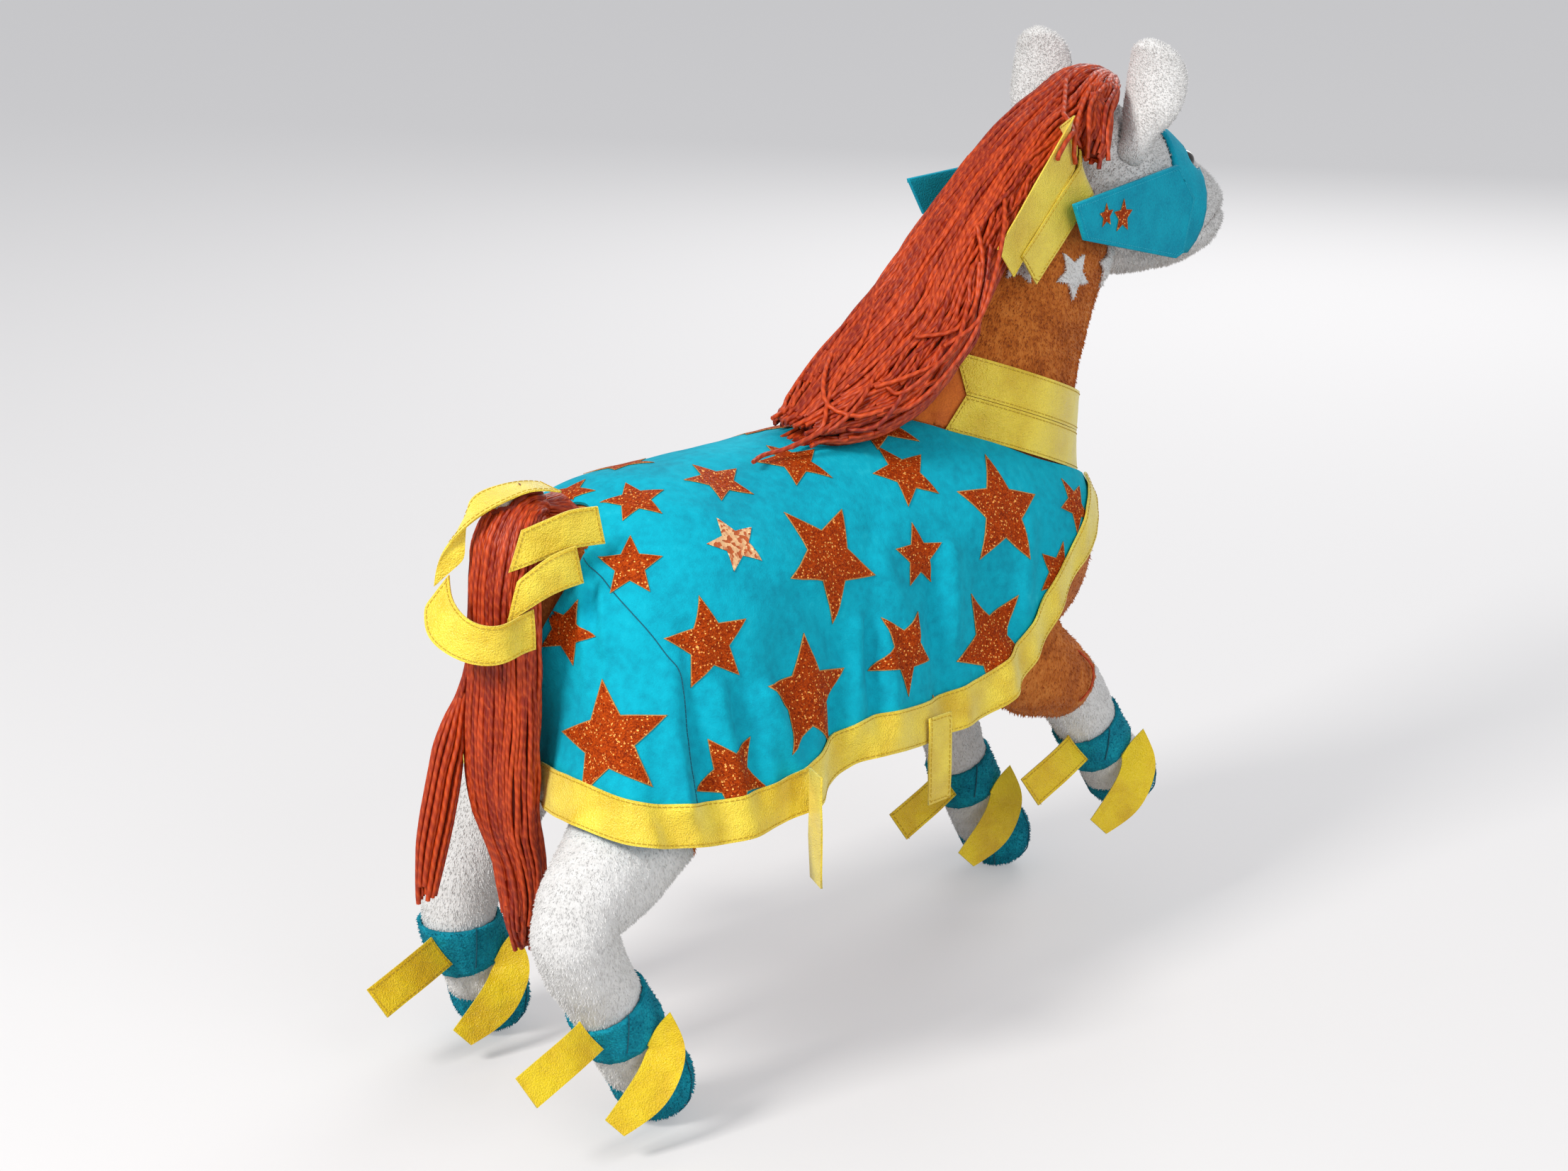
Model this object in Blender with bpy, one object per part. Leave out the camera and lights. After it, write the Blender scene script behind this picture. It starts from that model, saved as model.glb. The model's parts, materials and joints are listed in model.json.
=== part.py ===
# Plush show horse in a star blanket, with yarn mane and tail, mask, blinkers and satin ribbons.
# Metres, +X the way the horse faces, +Y its left side, +Z up, floor at z = 0 under the middle of it.
import bpy
import bmesh
from math import cos, sin, pi, sqrt, atan2, radians
from mathutils import Matrix, Vector
from mathutils.bvhtree import BVHTree

# Sizes of the whole animal
BACK_HEIGHT = 0.289
BODY_LENGTH = 0.385
BODY_WIDTH = 0.156
BODY_DEPTH = 0.146
NECK_LENGTH = 0.130
NECK_WIDTH = 0.096
HEAD_LENGTH = 0.086
HEAD_WIDTH = 0.084
LEG_GIRTH = 0.036
HOOF_WIDTH = 0.039
EAR_LENGTH = 0.058
EAR_WIDTH = 0.034
EAR_THICKNESS = 0.011
EYE_DIAMETER = 0.012

# Cloth, ribbon and yarn sizes
BLANKET_CLOTH = 0.0018
FOLD_DEPTH = 0.0055
RIBBON_WIDTH = 0.020
RIBBON_CLOTH = 0.0009
COLLAR_HEIGHT = 0.040
COLLAR_CLOTH = 0.0014
BAND_HEIGHT = 0.021
BAND_CLOTH = 0.0018
MASK_CLOTH = 0.0020
BLINKER_LENGTH = 0.119
BLINKER_HEIGHT = 0.046
BLINKER_FELT = 0.0026
PATCH_WIDTH = 0.021
PATCH_CLOTH = 0.0012
MANE_WIDTH = 0.060
TAIL_WIDTH = 0.038
TAIL_DROP = 0.190
TAIL_DOCK_WIDTH = 0.015

# Fits
GAP = 0.0003
CURVE_GAP = 0.0009
CLOTH_GAP = 0.0012
SOLE_FLAT = 0.0005
OVERRUN = 0.010
LOOK = 0.150

# The height of the body's middle line, which the legs take their heights from
HIP_HEIGHT = BACK_HEIGHT - BODY_DEPTH / 2
HALF_LENGTH = BODY_LENGTH / 2
HALF_WIDTH = BODY_WIDTH / 2


for old in list(bpy.data.objects):
    bpy.data.objects.remove(old, do_unlink=True)

ROOT = bpy.data.objects.new("horse", None)
bpy.context.collection.objects.link(ROOT)


def finish(name, colour, roughness, metallic=0):
    """A plain finish for one sub-part."""
    material = bpy.data.materials.new(name)
    material.use_nodes = True
    shader = material.node_tree.nodes["Principled BSDF"]
    shader.inputs["Base Color"].default_value = (*colour, 1)
    shader.inputs["Roughness"].default_value = roughness
    shader.inputs["Metallic"].default_value = metallic
    return material


BROWN = (0.39, 0.10, 0.015)
WHITE = (0.86, 0.84, 0.81)
TEAL = (0.006, 0.25, 0.36)
TURQUOISE = (0.0, 0.42, 0.58)
SATIN = (0.76, 0.52, 0.03)
YARN = (0.62, 0.06, 0.010)
ORANGE = (0.76, 0.17, 0.012)
BLACK = (0.010, 0.008, 0.008)


def add(name, mesh_data, colour, roughness, pivot=None):
    """A node of the part, parented to the horse or to a pivot on its joint's axis."""
    bmesh.ops.recalc_face_normals(mesh_data, faces=mesh_data.faces)
    mesh = bpy.data.meshes.new(name)
    mesh_data.to_mesh(mesh)
    mesh_data.free()
    mesh.shade_smooth()
    mesh.materials.append(finish(name, colour, roughness))
    piece = bpy.data.objects.new(name, mesh)
    bpy.context.collection.objects.link(piece)
    carrier = pivot or ROOT
    piece.parent = carrier
    piece.location = -carrier.location if pivot else Vector((0, 0, 0))
    return piece


def hide_tool(name, mesh_data):
    """A cutter: the space that a larger piece and its clearance take."""
    bmesh.ops.recalc_face_normals(mesh_data, faces=mesh_data.faces)
    mesh = bpy.data.meshes.new(name)
    mesh_data.to_mesh(mesh)
    mesh_data.free()
    tool = bpy.data.objects.new(name, mesh)
    bpy.context.collection.objects.link(tool)
    tool.parent = ROOT
    tool.hide_render = True
    tool.display_type = "WIRE"
    return tool


def combine(piece, tool, operation="DIFFERENCE"):
    modifier = piece.modifiers.new(operation.lower(), "BOOLEAN")
    modifier.operation = operation
    modifier.solver = "EXACT"
    modifier.object = tool


def pivot_at(name, place):
    """An empty on a joint's axis."""
    empty = bpy.data.objects.new(name, None)
    bpy.context.collection.objects.link(empty)
    empty.parent = ROOT
    empty.location = place
    return empty


def smooth_row(rows, share):
    """A row of a table at a share of its length, on a smooth curve through the rows."""
    place = min(max(share, 0), 1) * (len(rows) - 1)
    first = min(int(place), len(rows) - 2)
    t = place - first
    before = rows[max(first - 1, 0)]
    here, after = rows[first], rows[first + 1]
    beyond = rows[min(first + 2, len(rows) - 1)]
    blended = []
    for a, b, c, d in zip(before, here, after, beyond):
        bend = 2 * a - 5 * b + 4 * c - d
        twist = 3 * b - a - 3 * c + d
        blended.append((2 * b + (c - a) * t + bend * t * t + twist * t ** 3) / 2)
    return blended


def skin(rings, start_pole=None, end_pole=None):
    """A closed body through rings of points, with a pole or a flat face at each end."""
    body = bmesh.new()
    rows = [[body.verts.new(point) for point in ring] for ring in rings]
    count = len(rows[0])
    for low, high in zip(rows, rows[1:]):
        for i in range(count):
            j = (i + 1) % count
            body.faces.new((low[i], low[j], high[j], high[i]))
    for ring, pole in ((rows[0], start_pole), (rows[-1], end_pole)):
        if pole is None:
            body.faces.new(ring)
            continue
        tip = body.verts.new(pole)
        for i in range(count):
            body.faces.new((ring[i], ring[(i + 1) % count], tip))
    return body


class Form:
    """A stuffed form: a curved middle line with a half width and a half depth along it."""

    def __init__(self, stations, side=(0, 1, 0)):
        self.stations = stations
        self.side = Vector(side)

    def at(self, share):
        """Middle, direction, side, upper direction, half width and half depth at a share of the line."""
        step = 1 / (8 * len(self.stations))
        x, y, z, half_width, half_depth = smooth_row(self.stations, share)
        ahead = Vector(smooth_row(self.stations, share + step)[:3])
        behind = Vector(smooth_row(self.stations, share - step)[:3])
        along = (ahead - behind).normalized()
        upper = along.cross(self.side).normalized()
        side = upper.cross(along).normalized()
        return Vector((x, y, z)), along, side, upper, half_width, half_depth

    def point(self, share, angle, grow=0):
        """A point of the surface; angle 0 is on the side, and a quarter turn on is the upper face."""
        middle, along, side, upper, half_width, half_depth = self.at(share)
        return middle + side * ((half_width + grow) * cos(angle)) + upper * ((half_depth + grow) * sin(angle))

    def ring(self, share, sides, grow=0, shift=0, shrink=1):
        middle, along, side, upper, half_width, half_depth = self.at(share)
        wide, deep = (half_width + grow) * shrink, (half_depth + grow) * shrink
        turns = [2 * pi * i / sides for i in range(sides)]
        return [middle + along * shift + side * (wide * cos(a)) + upper * (deep * sin(a)) for a in turns]

    def body(self, start, end, sides, steps, start_cap=0, end_cap=0, grow=0, cap_steps=3):
        """The form from one share to another; a cap is how far its rounded end stands out."""
        rings = []
        start_pole = end_pole = None
        if start_cap:
            start_pole = self.at(start)[0] - self.at(start)[1] * (start_cap + grow)
            for i in range(1, cap_steps):
                turn = pi / 2 * (cap_steps - i) / cap_steps
                rings.append(self.ring(start, sides, grow, -(start_cap + grow) * sin(turn), cos(turn)))
        for i in range(steps + 1):
            rings.append(self.ring(start + (end - start) * i / steps, sides, grow))
        if end_cap:
            for i in range(1, cap_steps):
                turn = pi / 2 * i / cap_steps
                rings.append(self.ring(end, sides, grow, (end_cap + grow) * sin(turn), cos(turn)))
            end_pole = self.at(end)[0] + self.at(end)[1] * (end_cap + grow)
        return skin(rings, start_pole, end_pole)

    def sleeve(self, start, end, sides, steps, inner, outer):
        """A tube round the form between two shares, with its inner and outer faces at set distances."""
        shares = [start + (end - start) * i / steps for i in range(steps + 1)]
        rings = [self.ring(s, sides, outer) for s in shares]
        rings += [self.ring(s, sides, inner) for s in reversed(shares)]
        return loop_skin(rings)


def loop_skin(rings):
    """A closed ring-shaped body: each ring of points joins the next, and the last joins the first."""
    body = bmesh.new()
    rows = [[body.verts.new(point) for point in ring] for ring in rings]
    count = len(rows[0])
    for k, low in enumerate(rows):
        high = rows[(k + 1) % len(rows)]
        for i in range(count):
            j = (i + 1) % count
            body.faces.new((low[i], low[j], high[j]))
            body.faces.new((low[i], high[j], high[i]))
    return body


def slab(grid, outer_grid):
    """A sheet with thickness between two grids of points of the same size."""
    body = bmesh.new()
    inner = [[body.verts.new(point) for point in row] for row in grid]
    outer = [[body.verts.new(point) for point in row] for row in outer_grid]
    rows, columns = len(grid), len(grid[0])
    for r in range(rows - 1):
        for c in range(columns - 1):
            for a, b, d in (((r, c), (r, c + 1), (r + 1, c + 1)), ((r, c), (r + 1, c + 1), (r + 1, c))):
                body.faces.new([inner[i][j] for i, j in (a, b, d)])
                body.faces.new([outer[i][j] for i, j in (d, b, a)])
    edge = [(r, 0) for r in range(rows)] + [(rows - 1, c) for c in range(1, columns)]
    edge += [(r, columns - 1) for r in range(rows - 2, -1, -1)] + [(0, c) for c in range(columns - 2, 0, -1)]
    for (r, c), (q, d) in zip(edge, edge[1:] + edge[:1]):
        body.faces.new((inner[r][c], inner[q][d], outer[q][d]))
        body.faces.new((inner[r][c], outer[q][d], outer[r][c]))
    return body


def grid_normals(grid):
    """The direction out of a grid of points at each point."""
    normals = []
    for r, row in enumerate(grid):
        line = []
        for c in range(len(row)):
            down = grid[min(r + 1, len(grid) - 1)][c] - grid[max(r - 1, 0)][c]
            over = row[min(c + 1, len(row) - 1)] - row[max(c - 1, 0)]
            line.append(down.cross(over).normalized())
        normals.append(line)
    return normals


def thick_sheet(grid, low, high, outward):
    """A sheet that follows a grid of points, between two distances out of it."""
    normals = grid_normals(grid)
    middle = normals[len(grid) // 2][len(grid[0]) // 2]
    sign = 1 if middle.dot(outward) > 0 else -1
    under = [[p + n * (sign * low) for p, n in zip(*pair)] for pair in zip(grid, normals)]
    over = [[p + n * (sign * high) for p, n in zip(*pair)] for pair in zip(grid, normals)]
    return slab(under, over)


def ribbon_grid(rows, steps, columns=2):
    """Points of a flat ribbon; each row of the table is a place on its middle and its half width."""
    grid = []
    for i in range(steps + 1):
        x, y, z, half_x, half_y, half_z = smooth_row(rows, i / steps)
        half = Vector((half_x, half_y, half_z))
        leans = [2 * c / columns - 1 for c in range(columns + 1)]
        grid.append([Vector((x, y, z)) + half * lean for lean in leans])
    return grid


def nearest_hit(trees, start, target):
    """Where a line from outside first meets any of the forms."""
    reach = target - start
    best = None
    for tree in trees:
        place, normal, index, distance = tree.ray_cast(start, reach.normalized(), reach.length)
        if place is not None and (best is None or distance < best[1]):
            best = (place, distance)
    return best[0] if best else None


def rest_on(grid, trees, towards, gap, shares):
    """Lays a grid of points on forms, as seen along a direction; a share of 0 leaves its row free."""
    laid = []
    for row, share in zip(grid, shares):
        line = []
        for point in row:
            hit = nearest_hit(trees, point - towards * LOOK, point + towards * LOOK)
            seat = hit - towards * gap if hit else point
            inside = (point - seat).dot(towards) > 0
            line.append(seat if inside else point.lerp(seat, share))
        laid.append(line)
    return laid


def push_out(point, heart, trees, gap):
    """A point, or the nearest place outside the forms on its own line from their middle."""
    out = (point - heart).normalized()
    hit = nearest_hit(trees, heart + out * LOOK, heart)
    least = (hit - heart).length + gap if hit else 0
    return heart + out * max(least, (point - heart).length)


def tree_of(mesh_data):
    """A search tree of a closed form, to seat cloth on it."""
    return BVHTree.FromBMesh(mesh_data)


# Torso: the main stuffed body, from the rump to the chest
# Each row is a place along the body, the drop of the top line, a half width and a half depth
TORSO_SHARES = (
    (-0.338, 0.010, 0.490, 0.480),
    (-0.156, 0.006, 0.465, 0.466),
    (0.000, 0.000, 0.440, 0.466),
    (0.156, -0.006, 0.445, 0.475),
    (0.268, 0.066, 0.415, 0.450),
)
RUMP_CAP_SHARE = 0.182
CHEST_CAP_SHARE = 0.190
TORSO_SIDES = 28


def torso_station(row):
    place_share, drop_share, width_share, depth_share = row
    middle_height = BACK_HEIGHT - (drop_share + depth_share) * BODY_DEPTH
    return place_share * BODY_LENGTH, 0, middle_height, width_share * BODY_WIDTH, depth_share * BODY_DEPTH


torso_form = Form([torso_station(row) for row in TORSO_SHARES])
RUMP_CAP = RUMP_CAP_SHARE * BODY_LENGTH
CHEST_CAP = CHEST_CAP_SHARE * BODY_LENGTH


def torso_body(grow=0):
    return torso_form.body(0, 1, TORSO_SIDES, 10, RUMP_CAP, CHEST_CAP, grow, 5)


torso_tree = tree_of(torso_body())
torso_space = hide_tool("torso_space", torso_body(GAP))
torso = add("torso", torso_body(), BROWN, 0.9)

# Neck: rises out of the withers and the chest, deep from crest to throat
# Each row is a place ahead of the body's middle, a height over the back, a half width and a half depth
NECK_SHARES = (
    (0.270, -0.400, 0.500, 0.620),
    (0.290, 0.085, 0.490, 0.600),
    (0.345, 0.400, 0.450, 0.545),
    (0.405, 0.640, 0.420, 0.490),
)
NECK_SIDES = 24


def neck_station(row):
    place_share, rise_share, width_share, depth_share = row
    height = BACK_HEIGHT + rise_share * NECK_LENGTH
    return place_share * BODY_LENGTH, 0, height, width_share * NECK_WIDTH, depth_share * NECK_WIDTH


neck_form = Form([neck_station(row) for row in NECK_SHARES])
NECK_TOP_CAP = 0.30 * NECK_WIDTH


def neck_body(grow=0):
    return neck_form.body(0, 1, NECK_SIDES, 8, 0, NECK_TOP_CAP, grow)


neck_tree = tree_of(neck_body())
neck_space = hide_tool("neck_space", neck_body(GAP))
neck = add("neck", neck_body(), BROWN, 0.9)
combine(neck, torso_space)

# Head: skull, face and muzzle in one stuffed form that slopes down to the nose
# Each row is ahead of and above the top of the neck's line, as shares of the head's length
POLL = Vector(neck_station(NECK_SHARES[-1])[:3])
HEAD_SHARES = (
    (0.453, 0.186, 0.500, 0.512),
    (0.802, 0.070, 0.452, 0.500),
    (1.116, -0.035, 0.400, 0.400),
    (1.365, -0.085, 0.345, 0.320),
)
HEAD_SIDES = 24


def head_station(row):
    ahead_share, above_share, width_share, depth_share = row
    ahead, above = ahead_share * HEAD_LENGTH, above_share * HEAD_LENGTH
    return POLL.x + ahead, 0, POLL.z + above, width_share * HEAD_WIDTH, depth_share * HEAD_WIDTH


head_form = Form([head_station(row) for row in HEAD_SHARES])
SKULL_CAP = 0.44 * HEAD_WIDTH
NOSE_CAP = 0.235 * HEAD_WIDTH


def head_body(grow=0):
    return head_form.body(0, 1, HEAD_SIDES, 8, SKULL_CAP, NOSE_CAP, grow, 4)


head_space = hide_tool("head_space", head_body(GAP))
head_tree = tree_of(head_body())
head = add("head", head_body(), WHITE, 0.9)
combine(head, neck_space)
combine(head, torso_space)

# Legs: a brown upper part, a white lower part, and a hoof, on one bent middle line each
# Each row is ahead of the hip, beside the middle, a height, a half width and a half depth
HIND_HIP_SHARE = -0.390
HIND_RIGHT_SHARES = (
    (0.000, 0.250, 1.020, 0.720, 1.110),
    (-0.060, 0.300, 0.833, 0.780, 1.000),
    (-0.140, 0.340, 0.655, 0.780, 0.850),
    (-0.350, 0.398, 0.528, 0.570, 0.600),
    (-0.337, 0.398, 0.426, 0.540, 0.560),
    (-0.282, 0.398, 0.329, 0.485, 0.500),
    (-0.212, 0.398, 0.213, 0.500, 0.510),
    (-0.138, 0.398, 0.085, 0.540, 0.540),
)
HIND_LEFT_SHARES = (
    (0.040, 0.250, 1.000, 0.720, 0.950),
    (0.020, 0.350, 0.800, 0.750, 0.850),
    (-0.010, 0.410, 0.635, 0.700, 0.720),
    (-0.085, 0.435, 0.505, 0.590, 0.610),
    (-0.143, 0.442, 0.402, 0.540, 0.560),
    (-0.168, 0.442, 0.298, 0.500, 0.510),
    (-0.124, 0.442, 0.200, 0.500, 0.510),
    (-0.078, 0.442, 0.088, 0.540, 0.540),
)
FORE_HIP_SHARE = 0.300
STANDING_LEG_SHARES = (
    (0.012, 0.244, 0.880, 0.620, 0.800),
    (0.049, 0.244, 0.648, 0.540, 0.600),
    (0.081, 0.244, 0.500, 0.470, 0.500),
    (0.113, 0.244, 0.394, 0.440, 0.470),
    (0.150, 0.244, 0.306, 0.440, 0.460),
    (0.215, 0.244, 0.194, 0.470, 0.500),
    (0.294, 0.244, 0.088, 0.540, 0.540),
)
RAISED_LEG_SHARES = (
    (-0.211, 0.290, 0.880, 0.680, 0.900),
    (-0.090, 0.314, 0.731, 0.680, 0.780),
    (0.015, 0.320, 0.671, 0.580, 0.600),
    (0.088, 0.320, 0.612, 0.500, 0.520),
    (0.165, 0.320, 0.500, 0.440, 0.460),
    (0.232, 0.320, 0.418, 0.460, 0.480),
    (0.290, 0.320, 0.358, 0.510, 0.510),
)


def leg_form(hip_share, rows, hand):
    """A leg's form; hand is 1 on the horse's left and -1 on its right."""
    hip = hip_share * BODY_LENGTH
    stations = []
    for ahead_share, beside_share, height_share, width_share, depth_share in rows:
        place = (hip + ahead_share * HIP_HEIGHT, hand * beside_share * BODY_WIDTH, height_share * HIP_HEIGHT)
        stations.append((*place, width_share * LEG_GIRTH, depth_share * LEG_GIRTH))
    return Form(stations)


# Each leg: where its hip is, its line, its side, and the shares of the line where the parts meet
LEGS = {
    "hind_left": (HIND_HIP_SHARE, HIND_LEFT_SHARES, 1, 0.286, 0.930, 0.775),
    "hind_right": (HIND_HIP_SHARE, HIND_RIGHT_SHARES, -1, 0.286, 0.930, 0.785),
    "fore_left": (FORE_HIP_SHARE, STANDING_LEG_SHARES, 1, 0.250, 0.908, 0.683),
    "fore_right": (FORE_HIP_SHARE, RAISED_LEG_SHARES, -1, 0.425, 0.895, 0.690),
}
LEG_SIDES = 16


def cut_flat(mesh_data, height):
    """Takes off what is under a height and closes the cut with one flat face."""
    parts = mesh_data.verts[:] + mesh_data.edges[:] + mesh_data.faces[:]
    cut = bmesh.ops.bisect_plane(
        mesh_data, geom=parts, plane_co=(0, 0, height), plane_no=(0, 0, -1), clear_outer=True
    )
    rim = [e for e in cut["geom_cut"] if isinstance(e, bmesh.types.BMEdge)]
    if rim:
        bmesh.ops.edgeloop_fill(mesh_data, edges=rim)


leg_bodies = []
leg_trees = []
band_places = {}
ankle_trees = {}
for place, (hip_share, rows, hand, white_share, hoof_share, band_share) in LEGS.items():
    form = leg_form(hip_share, rows, hand)
    hoof_half = HOOF_WIDTH / 2
    x, y, z, half_width, half_depth = form.stations[-1]
    standing = place != "fore_right"
    form.stations[-1] = (x, y, hoof_half - SOLE_FLAT if standing else z, hoof_half, hoof_half)
    middles = [Vector(station[:3]) for station in form.stations]
    seam = GAP / 2 / sum((b - a).length for a, b in zip(middles, middles[1:]))
    upper_body = form.body(0, white_share - seam, LEG_SIDES, 4)
    leg_bodies.append(form.body(0, hoof_share, LEG_SIDES, 9))
    leg_trees.append(tree_of(form.body(0, hoof_share, LEG_SIDES, 9, 0, 0, BLANKET_CLOTH)))
    upper = add(place + "_upper", upper_body, BROWN, 0.9)
    combine(upper, torso_space)
    lower = add(place + "_leg", form.body(white_share + seam, hoof_share - seam, LEG_SIDES, 10), WHITE, 0.9)
    combine(lower, torso_space)
    hoof_mesh = form.body(hoof_share + seam, 1, LEG_SIDES, 2, 0, hoof_half)
    if standing:
        cut_flat(hoof_mesh, 0)
    add(place + "_hoof", hoof_mesh, TEAL, 0.8)
    line_length = (form.at(band_share + 0.1)[0] - form.at(band_share - 0.1)[0]).length / 0.2
    band_places[place] = form.at(band_share)
    half_band = BAND_HEIGHT / 2 / line_length
    band = form.sleeve(band_share - half_band, band_share + half_band, LEG_SIDES, 3, GAP * 2, GAP * 2 + BAND_CLOTH)
    ankle_trees[place] = [tree_of(form.body(0, 1, LEG_SIDES, 12, 0, hoof_half)), tree_of(band)]
    add(place + "_band", band, TEAL, 0.8)

# Blanket: one cloth over the back and down both sides, open at the chest and slit under the tail
# Each row is a place of its lower edge on one side, from the tail round to the chest
SIDE_HEM_SHARES = (
    (-0.377, 0.590, 0.484),
    (-0.323, 0.588, 0.488),
    (-0.270, 0.581, 0.498),
    (-0.214, 0.572, 0.524),
    (-0.161, 0.561, 0.536),
    (-0.117, 0.532, 0.533),
    (-0.051, 0.548, 0.519),
    (0.014, 0.538, 0.528),
    (0.087, 0.528, 0.537),
    (0.143, 0.519, 0.557),
    (0.200, 0.511, 0.595),
    (0.234, 0.506, 0.637),
    (0.273, 0.500, 0.689),
    (0.317, 0.481, 0.727),
    (0.364, 0.423, 0.761),
    (0.405, 0.340, 0.796),
    (0.442, 0.231, 0.824),
)
RIGHT_HEM_SHARES = (
    (-0.499, 0.032, 0.516),
    (-0.517, 0.115, 0.522),
    (-0.543, 0.244, 0.526),
    (-0.558, 0.372, 0.526),
    (-0.551, 0.487, 0.519),
    (-0.527, 0.538, 0.505),
    (-0.494, 0.558, 0.495),
    (-0.442, 0.574, 0.484),
) + SIDE_HEM_SHARES
LEFT_HEM_SHARES = (
    (-0.499, 0.032, 0.516),
    (-0.514, 0.115, 0.522),
    (-0.530, 0.212, 0.526),
    (-0.501, 0.308, 0.519),
    (-0.470, 0.391, 0.512),
    (-0.442, 0.468, 0.505),
    (-0.418, 0.526, 0.495),
    (-0.397, 0.564, 0.488),
) + SIDE_HEM_SHARES
RIDGE_SHARES = (-0.423, 0.104)
BELT_SHARE = 0.750
AXIS_SHARES = (-0.332, 0.260)
FOLD_SHARES = (0, 0.2, 0, -0.3, 0.4, 0, -0.4, 0.5, 0.1, 0.7, -0.4, -1, 0.7, 0.3, -0.5, 0.6, 0, -0.3, 0.3, 0, 0, 0, 0, 0)
TAIL_HOLE_SHARE = 0.30
HOOPS = len(FOLD_SHARES)
DROPS = 11

# Collar: the plane that it lies in, and how far up the neck it reaches
COLLAR_MIDDLE_SHARES = (0.265, 0.917)
COLLAR_SLOPE = 0.37
COLLAR_FRONT_TURN = 0.42
collar_middle = Vector((COLLAR_MIDDLE_SHARES[0] * BODY_LENGTH, 0, COLLAR_MIDDLE_SHARES[1] * BACK_HEIGHT))
collar_up = Vector((sin(COLLAR_SLOPE), 0, cos(COLLAR_SLOPE)))
collar_ahead = Vector((cos(COLLAR_SLOPE), 0, -sin(COLLAR_SLOPE)))
body_trees = [torso_tree, neck_tree]


def collar_point(turn, rise, offset):
    """A point round the foot of the neck; a turn of 0 is at the front, and it goes to the left."""
    heart = collar_middle + collar_up * rise
    out = collar_ahead * cos(turn) + Vector((0, sin(turn), 0))
    hit = nearest_hit(body_trees, heart + out * LOOK, heart)
    return hit + out * offset


def axis_point(point):
    """The body's inner middle that a point of the blanket is seen from."""
    low, high = (share * BODY_LENGTH for share in AXIS_SHARES)
    level = min(point.z, BELT_SHARE * BACK_HEIGHT)
    return Vector((min(max(point.x, low), high), 0, level))


cloth_trees = body_trees + leg_trees


def seat_cloth(point):
    """Lays a point of the blanket on the body, or lets it hang outside what is under it."""
    heart = axis_point(point)
    out = (point - heart).normalized()
    hit = nearest_hit(cloth_trees, heart + out * LOOK, heart)
    if hit is None:
        return point
    seated = (hit - heart).length + CLOTH_GAP
    belt = BELT_SHARE * BACK_HEIGHT
    hang = min(max((belt - point.z) / (belt / 8), 0), 1)
    own = max((point - heart).length, seated)
    return heart + out * (seated + (own - seated) * hang)


def side_path(hem, ridge_x, hole):
    """A line of the blanket from the ridge to its lower edge; hole is how far it swings round the tail."""
    belt = BELT_SHARE * BACK_HEIGHT
    ridge = Vector((ridge_x, 0, BACK_HEIGHT))
    edge = Vector((hem.x, hem.y, max(belt, hem.z)))
    start, target = axis_point(ridge), axis_point(edge)
    first = (ridge - start).normalized()
    last = (edge - target).normalized()
    points = []
    for k in range(PATH_STEPS + 1):
        t = k / PATH_STEPS
        out = first.slerp(last, t)
        out.y += hole * sin(pi * t ** HOLE_LIFT)
        points.append(seat_cloth(start.lerp(target, t) + out.normalized() * BODY_WIDTH / 2))
    for k in range(1, PATH_STEPS + 1):
        points.append(points[PATH_STEPS].lerp(hem, k / PATH_STEPS))
    return points


def resample(points, last_step, count):
    """Even steps along a line, and one step of a set length at its end."""
    lengths = [0]
    for a, b in zip(points, points[1:]):
        lengths.append(lengths[-1] + (b - a).length)
    marks = [(lengths[-1] - last_step) * i / (count - 1) for i in range(count)] + [lengths[-1]]
    line = []
    for mark in marks:
        k = 1
        while k < len(lengths) - 1 and lengths[k] < mark:
            k += 1
        span = max(lengths[k] - lengths[k - 1], GAP / 10)
        line.append(points[k - 1].lerp(points[k], (mark - lengths[k - 1]) / span))
    return line


PATH_STEPS = 16
STRAIGHT_HOOPS = 15
HOLE_LIFT = 0.65


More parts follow.
